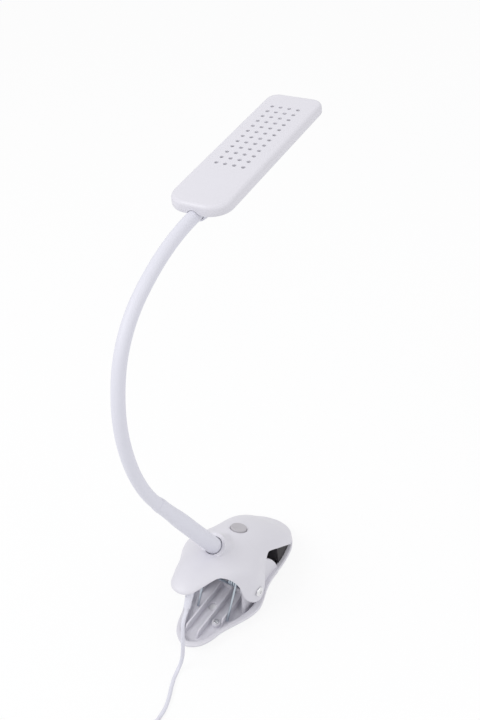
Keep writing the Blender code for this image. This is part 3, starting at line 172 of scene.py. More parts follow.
class HeadSettings(bpy.types.PropertyGroup):
    """Sizes of the lamp's head."""
    width: FloatProperty(name="Width", description="Width of the head", default=0.0364, unit="LENGTH")
    length: FloatProperty(name="Length", description="Length of the head", default=0.1270, unit="LENGTH")
    top: FloatProperty(name="Top", description="Height of the head's top", default=0.3015, unit="LENGTH")
    edge: FloatProperty(name="Edge radius", description="Rounding of the head's upper edge",
                        default=0.0024, unit="LENGTH")
    crown: FloatProperty(name="Crown", description="Fall of the top from its middle to its sides",
                         default=0.0007, unit="LENGTH")
    vent_rows: IntProperty(name="Vent rows", description="Rows of vents along the head", default=12)
    vent_columns: IntProperty(name="Vent columns", description="Vents in each row", default=4)
    vent_radius: FloatProperty(name="Vent radius", description="Half of a vent's longer width",
                               default=0.00122, unit="LENGTH")


class CordSettings(bpy.types.PropertyGroup):
    """Sizes of the cord and its coil."""
    diameter: FloatProperty(name="Diameter", description="Outer diameter of the cord",
                            default=0.0026, unit="LENGTH")
    steps: IntProperty(name="Steps", description="Points in each turn of the coil", default=44)


class FinishSettings(bpy.types.PropertyGroup):
    """Colours of the lamp's finishes."""
    white: FloatVectorProperty(name="Moulded plastic", description="Colour of the clip and the head",
                               subtype="COLOR", default=(0.69, 0.68, 0.735))
    sleeve: FloatVectorProperty(name="Sleeve", description="Colour of the neck's sleeve and the cord",
                                subtype="COLOR", default=(0.70, 0.70, 0.775))
    button: FloatVectorProperty(name="Button", description="Colour of the push button",
                                subtype="COLOR", default=(0.47, 0.455, 0.485))
    rubber: FloatVectorProperty(name="Rubber", description="Colour of the jaw pads",
                                subtype="COLOR", default=(0.020, 0.017, 0.021))
    steel: FloatVectorProperty(name="Bright steel", description="Colour of the pin and the screws",
                               subtype="COLOR", default=(0.78, 0.78, 0.80))
    wire: FloatVectorProperty(name="Spring steel", description="Colour of the spring and the neck's core",
                              subtype="COLOR", default=(0.56, 0.62, 0.68))
    milk: FloatVectorProperty(name="Diffuser", description="Colour of the milky diffuser",
                              subtype="COLOR", default=(0.86, 0.86, 0.84))
    board: FloatVectorProperty(name="Board", description="Colour of the circuit boards",
                               subtype="COLOR", default=(0.055, 0.065, 0.058))


class StageSettings(bpy.types.PropertyGroup):
    """Light and floor."""
    floor: FloatVectorProperty(name="Floor", description="Colour of the floor", subtype="COLOR",
                               default=(0.88, 0.88, 0.89))
    sky: FloatProperty(name="Sky light", description="Strength of the light from all round", default=0.78)
    key: FloatProperty(name="Key light", description="Power of the main lamp", default=9.0, unit="POWER")
    fill: FloatProperty(name="Fill light", description="Power of the second lamp", default=3.0, unit="POWER")


# ---------------------------------------------------------------- curves
def curve_value(points, at):
    """Smooth curve through (position, value) points: cubic spans with averaged slopes."""
    xs, ys = np.array(points, dtype=float).T
    secants = np.diff(ys) / np.diff(xs)
    slopes = np.concatenate([[secants[0]], (secants[:-1] + secants[1:]) / 2, [secants[-1]]])
    at = np.clip(at, xs[0], xs[-1])
    span = np.clip(np.searchsorted(xs, at, side="right") - 1, 0, len(xs) - 2)
    width = xs[span + 1] - xs[span]
    t = (at - xs[span]) / width
    return ((2 * t**3 - 3 * t**2 + 1) * ys[span] + (t**3 - 2 * t**2 + t) * width * slopes[span]
            + (3 * t**2 - 2 * t**3) * ys[span + 1] + (t**3 - t**2) * width * slopes[span + 1])


def smooth_path(points, steps):
    """Catmull-Rom curve through the points, with a number of steps in each span."""
    pts = np.array(points, dtype=float)
    padded = np.vstack([2 * pts[0] - pts[1], pts, 2 * pts[-1] - pts[-2]])
    t = np.linspace(0, 1, steps, endpoint=False)[None, :, None]
    a, b, c, d = (padded[i:len(padded) - 3 + i, None] for i in range(4))
    spans = 0.5 * (2 * b + (c - a) * t + (2 * a - 5 * b + 4 * c - d) * t**2 + (3 * b - a - 3 * c + d) * t**3)
    return np.vstack([spans.reshape(-1, pts.shape[1]), pts[-1:]])


def half_outline(half, steps):
    """Smooth half plan outline from the handle's end to the jaw's tip, square to the middle line at both."""
    half = np.array(half, dtype=float)
    around = np.vstack([half[2:0:-1] * (-1, 1), half, half[-2:-4:-1] * (-1, 1)])
    path = smooth_path(around, steps)[2 * steps:(len(half) + 1) * steps + 1]
    path[[0, -1], 0] = 0
    return path


def full_loop(half):
    """Closed loop of points or sections from its half, mirrored across the middle plane."""
    flip = np.ones(half.shape[-1])
    flip[0] = -1
    return np.concatenate([half, half[-2:0:-1] * flip])


def softened(points, radius, closed=False, steps=5):
    """Line whose corners become short quadratic curves, each starting at most a radius before its corner."""
    pts = np.asarray(points, dtype=float)
    back, on = np.roll(pts, 1, 0) - pts, np.roll(pts, -1, 0) - pts
    back_length = np.linalg.norm(back, axis=1, keepdims=True)
    on_length = np.linalg.norm(on, axis=1, keepdims=True)
    reach = np.minimum(radius, np.minimum(0.45 * back_length, 0.45 * on_length))
    first, last = pts + back / back_length * reach, pts + on / on_length * reach
    t = np.linspace(0, 1, steps)[:, None, None]
    curves = (1 - t)**2 * first + 2 * t * (1 - t) * pts + t**2 * last
    line = curves.transpose(1, 0, 2).reshape(-1, pts.shape[1])
    return line if closed else np.vstack([pts[:1], line[steps:-steps], pts[-1:]])


def rounded_rectangle(width, length, far_radius, mid_y, near_radius=None, steps=12):
    """Plan outline with round corners, as four quarter circles joined by straight sides."""
    turn = np.linspace(0, math.pi / 2, steps)
    corners = []
    for quarter, (sx, sy) in enumerate(((1, 1), (-1, 1), (-1, -1), (1, -1))):
        radius = far_radius if sy > 0 or near_radius is None else near_radius
        angle = turn + quarter * math.pi / 2
        corners.append(np.column_stack([sx * (width / 2 - radius) + radius * np.cos(angle),
                                        mid_y + sy * (length / 2 - radius) + radius * np.sin(angle)]))
    return np.vstack(corners)


def in_clip(points):
    """Lamp coordinates to world for a piece on the clip."""
    return np.asarray(points, dtype=float) + ENTRY


def in_neck(points):
    """Lamp coordinates to world for a piece on the neck or the head, which are turned by the yaw."""
    x, y, z = np.moveaxis(np.asarray(points, dtype=float), -1, 0)
    return np.stack([x * math.cos(YAW) - y * math.sin(YAW), x * math.sin(YAW) + y * math.cos(YAW), z],
                    axis=-1) + ENTRY


# ---------------------------------------------------------------- surfaces
def new_piece(name, points, faces):
    """Mesh object from points and faces, its doubles merged and its faces turned outwards."""
    mesh = bpy.data.meshes.new(name)
    mesh.from_pydata(np.asarray(points).reshape(-1, 3).tolist(), [], [list(face) for face in faces])
    obj = bpy.data.objects.new(name, mesh)
    bpy.context.scene.collection.objects.link(obj)
    clean(obj)
    return obj


def clean(obj):
    """Merge the points that fall together and turn every face outwards."""
    bm = bmesh.new()
    bm.from_mesh(obj.data)
    bmesh.ops.remove_doubles(bm, verts=bm.verts, dist=2e-7)
    bmesh.ops.dissolve_degenerate(bm, edges=bm.edges, dist=1e-7)
    bmesh.ops.recalc_face_normals(bm, faces=bm.faces)
    bm.to_mesh(obj.data)
    bm.free()


def skin(name, grid, wrap=False, first_cap=True, last_cap=True):
    """Surface over a grid of rings: quads join each ring to the next; the end rings are capped or joined."""
    rows, count = grid.shape[:2]
    index = np.arange(rows * count).reshape(rows, count)
    beside = np.roll(index, -1, axis=1)
    if wrap:
        quads = np.stack([index, beside, np.roll(beside, -1, 0), np.roll(index, -1, 0)], axis=-1)
        return new_piece(name, grid, quads.reshape(-1, 4).tolist())
    quads = np.stack([index[:-1], beside[:-1], beside[1:], index[1:]], axis=-1).reshape(-1, 4).tolist()
    if first_cap:
        quads.append(index[0][::-1].tolist())
    if last_cap:
        quads.append(index[-1].tolist())
    return new_piece(name, grid, quads)


def axes_of(direction):
    """Unit direction and two unit directions across it."""
    along = np.asarray(direction, dtype=float) / np.linalg.norm(direction)
    side = np.array((1.0, 0.0, 0.0)) if abs(along[0]) < 0.9 else np.array((0.0, 1.0, 0.0))
    side = side - along * side.dot(along)
    side /= np.linalg.norm(side)
    return along, side, np.cross(along, side)


def turned(name, profile, centre, axis, sides=64, wrap=False):
    """Turned surface: each (radius, distance) of the profile becomes a circle about the axis."""
    along, side, up = axes_of(axis)
    profile = np.asarray(profile, dtype=float)
    turn = np.linspace(0, 2 * math.pi, sides, endpoint=False)
    circle = np.outer(np.cos(turn), side) + np.outer(np.sin(turn), up)
    grid = np.asarray(centre) + profile[:, 1, None, None] * along + profile[:, 0, None, None] * circle
    return skin(name, grid, wrap, profile[0, 0] > 0, profile[-1, 0] > 0)


def slab(name, outline, low, high, edge, axis="X", steps=4):
    """Flat solid between two levels: the outline is drawn in by a quarter circle at both rims."""
    outline = np.asarray(outline, dtype=float)
    step = np.roll(outline, -1, 0) - np.roll(outline, 1, 0)
    area = np.sum(outline[:, 0] * np.roll(outline[:, 1], -1) - outline[:, 1] * np.roll(outline[:, 0], -1))
    inward = np.column_stack([-step[:, 1], step[:, 0]]) * np.sign(area)
    inward /= np.linalg.norm(inward, axis=1, keepdims=True)
    turn = np.linspace(0, math.pi / 2, steps)
    inset = np.concatenate([edge * (1 - np.sin(turn)), edge * (1 - np.cos(turn))])
    level = np.concatenate([low + edge * (1 - np.cos(turn)), high - edge * (1 - np.sin(turn))])
    plan = outline[None] + inset[:, None, None] * inward[None]
    across = np.broadcast_to(level[:, None, None], plan.shape[:2] + (1,))
    grid = np.concatenate([across, plan] if axis == "X" else [plan, across], axis=2)
    return skin(name, grid)


def swept(name, path, radius, sides=12):
    """Round tube along a path: a circle is carried along it, turned only as the path bends."""
    path = np.asarray(path, dtype=float)
    tangents = np.gradient(path, axis=0)
    tangents /= np.linalg.norm(tangents, axis=1, keepdims=True)
    side = axes_of(tangents[0])[1]
    sides_along = []
    for tangent in tangents:
        side = side - tangent * side.dot(tangent)
        side = side / np.linalg.norm(side)
        sides_along.append(side)
    sides_along = np.array(sides_along)
    ups = np.cross(tangents, sides_along)
    turn = np.linspace(0, 2 * math.pi, sides, endpoint=False)[None, :, None]
    radius = np.broadcast_to(radius, len(path))[:, None, None]
    grid = path[:, None] + radius * (np.cos(turn) * sides_along[:, None] + np.sin(turn) * ups[:, None])
    return skin(name, grid)


def settle(obj):
    """Replace an object's mesh by what its modifiers make of it."""
    bpy.context.view_layer.update()
    graph = bpy.context.evaluated_depsgraph_get()
    mesh = bpy.data.meshes.new_from_object(obj.evaluated_get(graph))
    obj.modifiers.clear()
    obj.data = mesh


def joined(parts):
    """Several separate solids as one object."""
    first = parts[0]
    bm = bmesh.new()
    for part in parts:
        bm.from_mesh(part.data)
    bm.to_mesh(first.data)
    bm.free()
    for part in parts[1:]:
        bpy.data.objects.remove(part)
    return first


def combine(target, tools, operation):
    """Exact Boolean of a solid with one object that holds all the tools, which are used up."""
    tool = joined(tools)
    step = target.modifiers.new(operation, "BOOLEAN")
    step.operation = operation
    step.solver = "EXACT"
    step.object = tool
    settle(target)
    bpy.data.objects.remove(tool)
    if not target.data.polygons:
        raise RuntimeError(f"{operation} left nothing of {target.name}")


def place(obj, body, look, slot, *nodes, angle=32.0):
    """Finish a piece: its material, smooth shading, its body and the frame nodes it stands for. The slot is
    not used.
    """
    obj.data.materials.clear()
    obj.data.materials.append(look)
    obj.data.shade_smooth()
    obj.data.set_sharp_from_angle(angle=math.radians(angle))
    if body:
        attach(obj, body)
    if nodes:
        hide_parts(*nodes)
    return obj


# ---------------------------------------------------------------- finishes
def node_group(name, inputs, outputs):
    group = bpy.data.node_groups.new(name, "ShaderNodeTree")
    for label, kind, default in inputs:
        socket = group.interface.new_socket(label, in_out="INPUT", socket_type=kind)
        if default is not None:
            socket.default_value = default
    for label, kind in outputs:
        group.interface.new_socket(label, in_out="OUTPUT", socket_type=kind)
    return group, group.nodes.new("NodeGroupInput"), group.nodes.new("NodeGroupOutput")


def moulded_grain():
    """Grain of a surface: a fine noise over a broad one as a mask, and the fine one as height."""
    made = bpy.data.node_groups.get("moulded_grain")
    if made:
        return made
    group, source, result = node_group("moulded_grain", (("Vector", "NodeSocketVector", None),
                                                         ("Fine Scale", "NodeSocketFloat", 1800.0),
                                                         ("Broad Scale", "NodeSocketFloat", 60.0)),
                                       (("Mask", "NodeSocketFloat"), ("Height", "NodeSocketFloat")))
    fine = group.nodes.new("ShaderNodeTexNoise")
    broad = group.nodes.new("ShaderNodeTexNoise")
    fine.inputs["Detail"].default_value = 3.0
    broad.inputs["Detail"].default_value = 4.0
    blend = group.nodes.new("ShaderNodeMath")
    blend.operation = "MULTIPLY_ADD"
    blend.inputs[1].default_value = 0.4
    weaker = group.nodes.new("ShaderNodeMath")
    weaker.operation = "MULTIPLY"
    weaker.inputs[1].default_value = 0.6
    link = group.links.new
    for noise, scale in ((fine, "Fine Scale"), (broad, "Broad Scale")):
        link(source.outputs["Vector"], noise.inputs["Vector"])
        link(source.outputs[scale], noise.inputs["Scale"])
    link(broad.outputs["Fac"], weaker.inputs[0])
    link(fine.outputs["Fac"], blend.inputs[0])
    link(weaker.outputs[0], blend.inputs[2])
    link(blend.outputs[0], result.inputs["Mask"])
    link(fine.outputs["Fac"], result.inputs["Height"])
    return group


def finish(name, colour, shade, roughness, spread, fine, broad, depth, metallic=0.0, stretch=(1, 1, 1)):
    """Material whose colour runs from its shade to itself and whose roughness spreads with the grain."""
    made = bpy.data.materials.get(name)
    if made and made.get("lamp_finish"):
        return made
    made = bpy.data.materials.new(name)
    made["lamp_finish"] = True
    made.use_nodes = True
    nodes, link = made.node_tree.nodes, made.node_tree.links.new
    shader = nodes["Principled BSDF"]
    shader.inputs["Metallic"].default_value = metallic
    where = nodes.new("ShaderNodeTexCoord")
    mapping = nodes.new("ShaderNodeMapping")
    mapping.inputs["Scale"].default_value = stretch
    grain = nodes.new("ShaderNodeGroup")
    grain.node_tree = moulded_grain()
    grain.inputs["Fine Scale"].default_value = fine
    grain.inputs["Broad Scale"].default_value = broad
    colours = nodes.new("ShaderNodeMix")
    colours.data_type = "RGBA"
    colours.inputs[6].default_value = (*(c * shade for c in colour), 1)
    colours.inputs[7].default_value = (*colour, 1)
    rough = nodes.new("ShaderNodeMapRange")
    rough.inputs["To Min"].default_value = roughness - spread
    rough.inputs["To Max"].default_value = roughness + spread
    bump = nodes.new("ShaderNodeBump")
    bump.inputs["Strength"].default_value = 0.35
    bump.inputs["Distance"].default_value = depth
    link(where.outputs["Object"], mapping.inputs["Vector"])
    link(mapping.outputs["Vector"], grain.inputs["Vector"])
    link(grain.outputs["Mask"], colours.inputs[0])
    link(grain.outputs["Mask"], rough.inputs["Value"])
    link(grain.outputs["Height"], bump.inputs["Height"])
    link(colours.outputs[2], shader.inputs["Base Color"])
    link(rough.outputs["Result"], shader.inputs["Roughness"])
    link(bump.outputs["Normal"], shader.inputs["Normal"])
    return made


def finishes():
    """Every finish of the lamp, by the record's slot name."""
    colours = bpy.context.scene.lamp_finishes
    return {
        "white_plastic": finish("moulded_white", colours.white, 0.965, 0.42, 0.05, 2600, 45, 0.00002),
        "white_sleeve": finish("soft_white", colours.sleeve, 0.96, 0.52, 0.06, 1900, 70, 0.00002),
        "grey_button": finish("button_grey", colours.button, 0.93, 0.46, 0.06, 2200, 120, 0.00004),
        "polished_steel": finish("bright_steel", colours.steel, 0.90, 0.20, 0.07, 3500, 200, 0.00001, 1.0,
                                 (1, 0.2, 1)),
        "spring_steel": finish("drawn_wire", colours.wire, 0.82, 0.30, 0.08, 3000, 260, 0.00002, 1.0,
                               (0.25, 1, 1)),
        "black_rubber": finish("moulded_rubber", colours.rubber, 0.70, 0.66, 0.08, 1500, 90, 0.00008),
        "milky_diffuser": finish("milky_plate", colours.milk, 0.97, 0.34, 0.04, 900, 60, 0.00002),
        "circuit_board": finish("masked_board", colours.board, 0.93, 0.48, 0.06, 1200, 150, 0.00003),
    }


# ---------------------------------------------------------------- stage
def make_camera(scene):
    data = bpy.data.cameras.new("camera")
    data.lens = 50
    data.sensor_fit = "VERTICAL"
    data.sensor_width = data.sensor_height = 36
    camera = bpy.data.objects.new("camera", data)
    scene.collection.objects.link(camera)
    right = Vector((0.8230, 0.5596, -0.1000))
    back = Vector((0.4803, -0.5899, 0.6496)).normalized()
    right = (right - back * right.dot(back)).normalized()
    up = back.cross(right)
    spot = Vector((0.28992, -0.30371, 0.57373)) + Vector(ENTRY)
    camera.matrix_world = Matrix((right, up, back)).transposed().to_4x4()
    camera.location = spot
    scene.camera = camera


def seen_or_mirrored(nodes, link):
    """Light Path's mask of the rays that see the backdrop, straight, mirrored or through something clear."""
    path = nodes.new("ShaderNodeLightPath")
    first = nodes.new("ShaderNodeMath")
    first.operation = "MAXIMUM"
    second = nodes.new("ShaderNodeMath")
    second.operation = "MAXIMUM"
    link(path.outputs["Is Camera Ray"], first.inputs[0])
    link(path.outputs["Is Glossy Ray"], first.inputs[1])
    link(first.outputs[0], second.inputs[0])
    link(path.outputs["Is Transmission Ray"], second.inputs[1])
    return second


def make_floor(scene, settings):
    """Round level floor, of a radius of four metres, under the lamp."""
    turn = np.linspace(0, 2 * math.pi, 96, endpoint=False)
    rings = [np.column_stack([r * np.cos(turn), r * np.sin(turn), np.zeros(96)]) for r in (0.0, 1.0, 4.0)]
    floor = skin("floor", np.array(rings), False, False, False)
    if floor.data.polygons[0].normal.z < 0:
        floor.data.flip_normals()
    made = bpy.data.materials.new("pale_floor")
    made.use_nodes = True
    nodes, link = made.node_tree.nodes, made.node_tree.links.new
    shader = nodes["Principled BSDF"]
    shader.inputs["Base Color"].default_value = (*settings.floor, 1)
    shader.inputs["Roughness"].default_value = 0.9
    shader.inputs["Specular IOR Level"].default_value = 0.1
    white = nodes.new("ShaderNodeEmission")
    white.inputs["Strength"].default_value = 1.0
    seen = seen_or_mirrored(nodes, link)
    share = nodes.new("ShaderNodeMath")
    share.operation = "MULTIPLY"
    where = nodes.new("ShaderNodeTexCoord")
    mapping = nodes.new("ShaderNodeMapping")
    mapping.inputs["Location"].default_value = tuple(-in_clip(PAN_HOLE) / UNDER_PAN)
    mapping.inputs["Scale"].default_value = (1 / UNDER_PAN,) * 3
    under = nodes.new("ShaderNodeTexGradient")
    under.gradient_type = "SPHERICAL"
    fade = nodes.new("ShaderNodeMapRange")
    fade.inputs["From Max"].default_value = 0.25
    fade.inputs["To Min"].default_value = 0.86
    fade.inputs["To Max"].default_value = 0.0
    link(where.outputs["Object"], mapping.inputs["Vector"])
    link(mapping.outputs["Vector"], under.inputs["Vector"])
    link(under.outputs["Fac"], fade.inputs["Value"])
    link(fade.outputs["Result"], share.inputs[1])
    mix = nodes.new("ShaderNodeMixShader")
    link(seen.outputs[0], share.inputs[0])
    link(share.outputs[0], mix.inputs[0])
    link(shader.outputs[0], mix.inputs[1])
    link(white.outputs[0], mix.inputs[2])
    link(mix.outputs[0], nodes["Material Output"].inputs["Surface"])
    floor.data.materials.append(made)


def make_sky(scene, settings):
    world = bpy.data.worlds.new("studio")
    scene.world = world
    world.use_nodes = True
    nodes, link = world.node_tree.nodes, world.node_tree.links.new
    light = nodes["Background"]
    light.inputs["Color"].default_value = (1, 1, 1, 1)
    light.inputs["Strength"].default_value = settings.sky
    white = nodes.new("ShaderNodeBackground")
    white.inputs["Color"].default_value = (1, 1, 1, 1)
    white.inputs["Strength"].default_value = 1.0
    mix = nodes.new("ShaderNodeMixShader")
    link(seen_or_mirrored(nodes, link).outputs[0], mix.inputs[0])
    link(light.outputs[0], mix.inputs[1])
    link(white.outputs[0], mix.inputs[2])
    link(mix.outputs[0], nodes["World Output"].inputs["Surface"])


def make_lamp(scene, name, spot, power, size, target=(0.0, 0.0, 0.12)):
    data = bpy.data.lights.new(name, "AREA")
    data.energy = power
    data.size = size
    lamp = bpy.data.objects.new(name, data)
    scene.collection.objects.link(lamp)
    lamp.location = spot
    lamp.rotation_euler = (Vector(target) - Vector(spot)).to_track_quat("-Z", "Y").to_euler()


class LAMP_OT_stage(bpy.types.Operator):
    """Make the camera, the pale floor and the soft light"""
    bl_idname = "lamp.stage"
    bl_label = "Stage"

    def execute(self, context):
        scene, settings = context.scene, context.scene.lamp_stage
        scene.view_settings.view_transform = "Standard"
        make_camera(scene)
        make_floor(scene, settings)
        make_sky(scene, settings)
        make_lamp(scene, "key", (-0.55, -0.85, 1.35), settings.key, 0.9)
        make_lamp(scene, "fill", (1.05, 0.15, 1.05), settings.fill, 1.2)
        return {"FINISHED"}


# ---------------------------------------------------------------- cord
def coil_path(steps):
    """Cord wound in four level layers that spiral in and out in turn, joined by quarter-turn climbs."""
    climb = 0.25
    turns = (11 + 275 / 360 + 1 - 3 * climb) / 4
    angle, pieces = math.pi, []
    levels = list(zip(COIL_LAYERS, COIL_LAYERS[1:] + (TAIL_HEIGHTS[0],)))
    for layer, (level, following) in enumerate(levels):
        inwards = layer % 2 == 0
        start, end = (COIL_OUTER, COIL_INNER) if inwards else (COIL_INNER, COIL_OUTER)
        t = np.linspace(0, 1, int(turns * steps), endpoint=False)
        pieces.append(np.column_stack([angle + 2 * math.pi * turns * t, start + (end - start) * t,
                                       np.full(len(t), level)]))
        angle += 2 * math.pi * turns
        last = layer == len(levels) - 1
        share = 56 / 360 if last else climb
        t = np.linspace(0, 1, int(share * steps) + 2, endpoint=False)
        widen = 0.00075 if last else 0.0
        pieces.append(np.column_stack([angle + 2 * math.pi * share * t, end + widen * t,
                                       level + (following - level) * (3 * t**2 - 2 * t**3)]))
        angle += 2 * math.pi * share
    turn, reach, height = np.vstack(pieces).T
    return COIL_CENTRE + np.column_stack([reach * np.cos(turn), reach * np.sin(turn), height])


def cord_path(steps):
    """Cord from its relief down behind the handles, along the table, round the coil and into the plug."""
    straight = [CORD_EXIT + CORD_HEADING * share * RELIEF_LENGTH for share in (0.06, 0.4, 0.75, 1.1)]
    coil = coil_path(steps)
    lead = smooth_path(straight + list(CORD_ROUTE) + [coil[0], coil[3], coil[6]], 7)
    lead = lead[:-14]
    turn = np.radians((150, 180, 210, 240, 270))
    bend = TAIL_CENTRE + np.column_stack([TAIL_BEND * np.cos(turn), TAIL_BEND * np.sin(turn), TAIL_HEIGHTS])
    end = smooth_path(np.vstack([coil[-5:-4], bend, bend[-1:] + (0.0015, 0, 0)]), 6)
    return in_clip(np.vstack([lead, coil[1:-5], end]))


def relief_profile(bore):
    """Tapered sleeve with a flange and seven soft rings round it."""
    along = np.linspace(0.0030, RELIEF_LENGTH - 0.0004, 60)
    share = (along - along[0]) / (along[-1] - along[0])
    body = 0.0028 - 0.0006 * share - 0.00022 * np.maximum(0, np.cos(share * 14 * math.pi))
    outer = np.column_stack([body, along])
    head = softened(((bore, 0.0), (0.0031, 0.0), (0.0031, 0.0022), (0.0028, 0.0030)), 0.0004)
    return np.vstack([head, outer[1:], ((0.00205, RELIEF_LENGTH), (bore, RELIEF_LENGTH))])


def plug_grip(centre):
    """Rounded body of the plug along X, with four shallow grooves across each of its long sides."""
    outline = softened(((-0.01075, -0.0079), (0.01075, -0.0079), (0.01075, 0.0079), (-0.01075, 0.0079)),
                       0.0034, True, 10)
    along = np.linspace(-0.0060, 0.0040, 81)
    dip = 0.0079 - 0.00045 * np.clip(np.cos((along + 0.0060) / 0.0100 * 8 * math.pi) * -1, 0, 1)
    side = np.column_stack([along, -dip])
    right = outline[(outline[:, 0] > 0.0041)]
    left = outline[(outline[:, 0] < -0.0061)]
    order = np.argsort(np.arctan2(left[:, 1], -left[:, 0]))[::-1]
    outline = np.vstack([side, right[np.argsort(right[:, 1])], side[::-1] * (1, -1), left[order]])
    return slab("plug_grip", outline + centre[:2], centre[2] - 0.0039, centre[2] + 0.0039, 0.0014, "Z", 7)


class LAMP_OT_cord(bpy.types.Operator):
    """Make the cord with its coil, its relief and its plug"""
    bl_idname = "lamp.cord"
    bl_label = "Cord"

    def execute(self, context):
        settings, looks = context.scene.lamp_cord, finishes()
        radius = settings.diameter / 2
        path = cord_path(settings.steps)
        cord = swept("power_cord", path, radius, 14)
        place(cord, "upper_clip", looks["white_sleeve"], "white_sleeve", "cord", "cord_coil", "cord_tail")
        bore = radius + GAP / 2
        relief = turned("ribbed_relief", relief_profile(bore), in_clip(CORD_EXIT), CORD_HEADING, 40, True)
        place(relief, "upper_clip", looks["white_sleeve"], "white_sleeve", "strain_relief")
        plug = plug_grip(PLUG_CENTRE + ENTRY)
        place(plug, "upper_clip", looks["white_plastic"], "white_plastic", "plug_body")
        return {"FINISHED"}


# ---------------------------------------------------------------- upper shell
def spine_of(plan):
    """Nearest point of the shell's middle line to each plan point."""
    return np.stack([np.zeros(plan.shape[:-1]), np.clip(plan[..., 1], *SPINE)], axis=-1)


def dome_height(plan_y, share):
    """Ridge height less the rounded fall: one less the circle's height, times the drop."""
    return curve_value(RIDGE, plan_y) - (1 - np.sqrt(np.clip(1 - share**2, 0, 1))) * curve_value(DROP, plan_y)


def shell_sections(half, rows=70, wall_rows=90):
    """Sections of the dome out from the middle line, then straight down its wall, with their lengths."""
    share = np.sin(np.linspace(0, math.pi / 2, rows))[None, :]
    middle = spine_of(half)[:, None]
    plan = middle + (half[:, None] - middle) * share[..., None]
    dome = np.concatenate([plan, dome_height(plan[..., 1], share)[..., None]], axis=2)
    foot = np.broadcast_to(dome[:, -1:], (len(half), wall_rows, 3)).copy()
    fall = np.linspace(0, 1, wall_rows + 1)[None, 1:]
    foot[..., 2] = foot[..., 2] * (1 - fall) + 0.004 * fall
    sections = np.concatenate([dome, foot], axis=1)
    steps = np.linalg.norm(np.diff(sections, axis=1), axis=2)
    return sections, np.concatenate([np.zeros((len(half), 1)), np.cumsum(steps, axis=1)], axis=1)


def edge_lengths(sections, lengths):
    """Length along each section at which it meets the side edge curve."""
    edge = smooth_path(SIDE_EDGE, 14)
    over = sections[..., 2] - np.interp(sections[..., 1], edge[:, 0], edge[:, 1])
    below = np.argmax(over < 0, axis=1)
    rows = np.arange(len(sections))
    high, low = over[rows, below - 1], over[rows, below]
    first, last = lengths[rows, below - 1], lengths[rows, below]
    return first + (last - first) * high / (high - low)


def along_rows(lengths, values, wanted):
    """Values of every row at the wanted lengths, read from the row's own lengths by straight spans."""
    room = 2 * lengths.max() * np.arange(len(lengths))[:, None]
    flat = (lengths + room).ravel()
    at = (wanted + room).ravel()
    read = [np.interp(at, flat, values[..., i].ravel()).reshape(wanted.shape) for i in range(values.shape[2])]
    return np.stack(read, axis=-1)


def shell_grid(count=230, rows=44):
    """Upper shell's outside: sections spaced evenly along its lower edge, each cut at that edge."""
    dense = half_outline(UPPER_OUTLINE, 26)
    sections, lengths = shell_sections(dense)
    ends = along_rows(lengths, sections, edge_lengths(sections, lengths)[:, None])[:, 0]
    travelled = np.concatenate([[0], np.cumsum(np.linalg.norm(np.diff(ends, axis=0), axis=1))])
    even = np.linspace(0, travelled[-1], count)
    half = np.column_stack([np.interp(even, travelled, dense[:, i]) for i in (0, 1)])
    sections, lengths = shell_sections(half)
    cut_at = edge_lengths(sections, lengths)[:, None]
    grid = along_rows(lengths, sections, cut_at * np.linspace(0, 1, rows)[None, :])
    grid[[0, -1], :, 0] = 0
    return full_loop(grid)


def under_dome(name, inset):
    """Solid under the dome drawn in by an inset, down to a level floor below the lamp."""
    half = half_outline(UPPER_OUTLINE, 6)
    loop = full_loop(half)
    middle = spine_of(loop)
    reach = np.linalg.norm(loop - middle, axis=1, keepdims=True)
    share = np.sin(np.linspace(0, math.pi / 2, 22))[:, None]
    plan = middle + (loop - middle) * share[..., None] * (1 - inset / reach)
    rings = np.concatenate([plan, (dome_height(plan[..., 1], share) - inset)[..., None]], axis=2)
    floor = rings[-1:].copy()
    floor[..., 2] = -0.02
    return skin(name, in_clip(np.concatenate([rings, floor])), False, False, True)


def cuff_direction():
    """Direction of the neck's cuff out of the clip, in world axes."""
    ahead = math.cos(CUFF_HEADING)
    return np.array((-math.sin(YAW) * ahead, math.cos(YAW) * ahead, math.sin(CUFF_HEADING)))


def button_place():
    """Centre of the button's face in lamp coordinates, and the direction that it faces."""
    direction = np.array((0.0, -math.sin(BUTTON_TILT), math.cos(BUTTON_TILT)))
    return np.array((0.0, BUTTON_Y, float(curve_value(RIDGE, np.array([BUTTON_Y]))[0]))), direction


def rod(name, radius, low, high, centre, axis, sides=48):
    return turned(name, ((0, low), (radius, low), (radius, high), (0, high)), centre, axis, sides)


def boss_profile():
    """Flare of the neck's boss: a smooth curve from its wide foot to its round lip."""
    flare = smooth_path(((LIP_RADIUS + 0.0040, -0.0155), (LIP_RADIUS + 0.0024, -0.0122),
                         (LIP_RADIUS + 0.0013, -0.0085), (LIP_RADIUS + 0.0006, -0.0045),
                         (LIP_RADIUS + 0.0001, -0.0012)), 8)
    lip = softened((flare[-1], (LIP_RADIUS, 0.0002), (LIP_RADIUS - 0.0012, 0.0002), (0, 0.0002)),
                   0.0008, steps=7)
    return np.vstack([((0, -0.0155),), flare[:-1], lip])


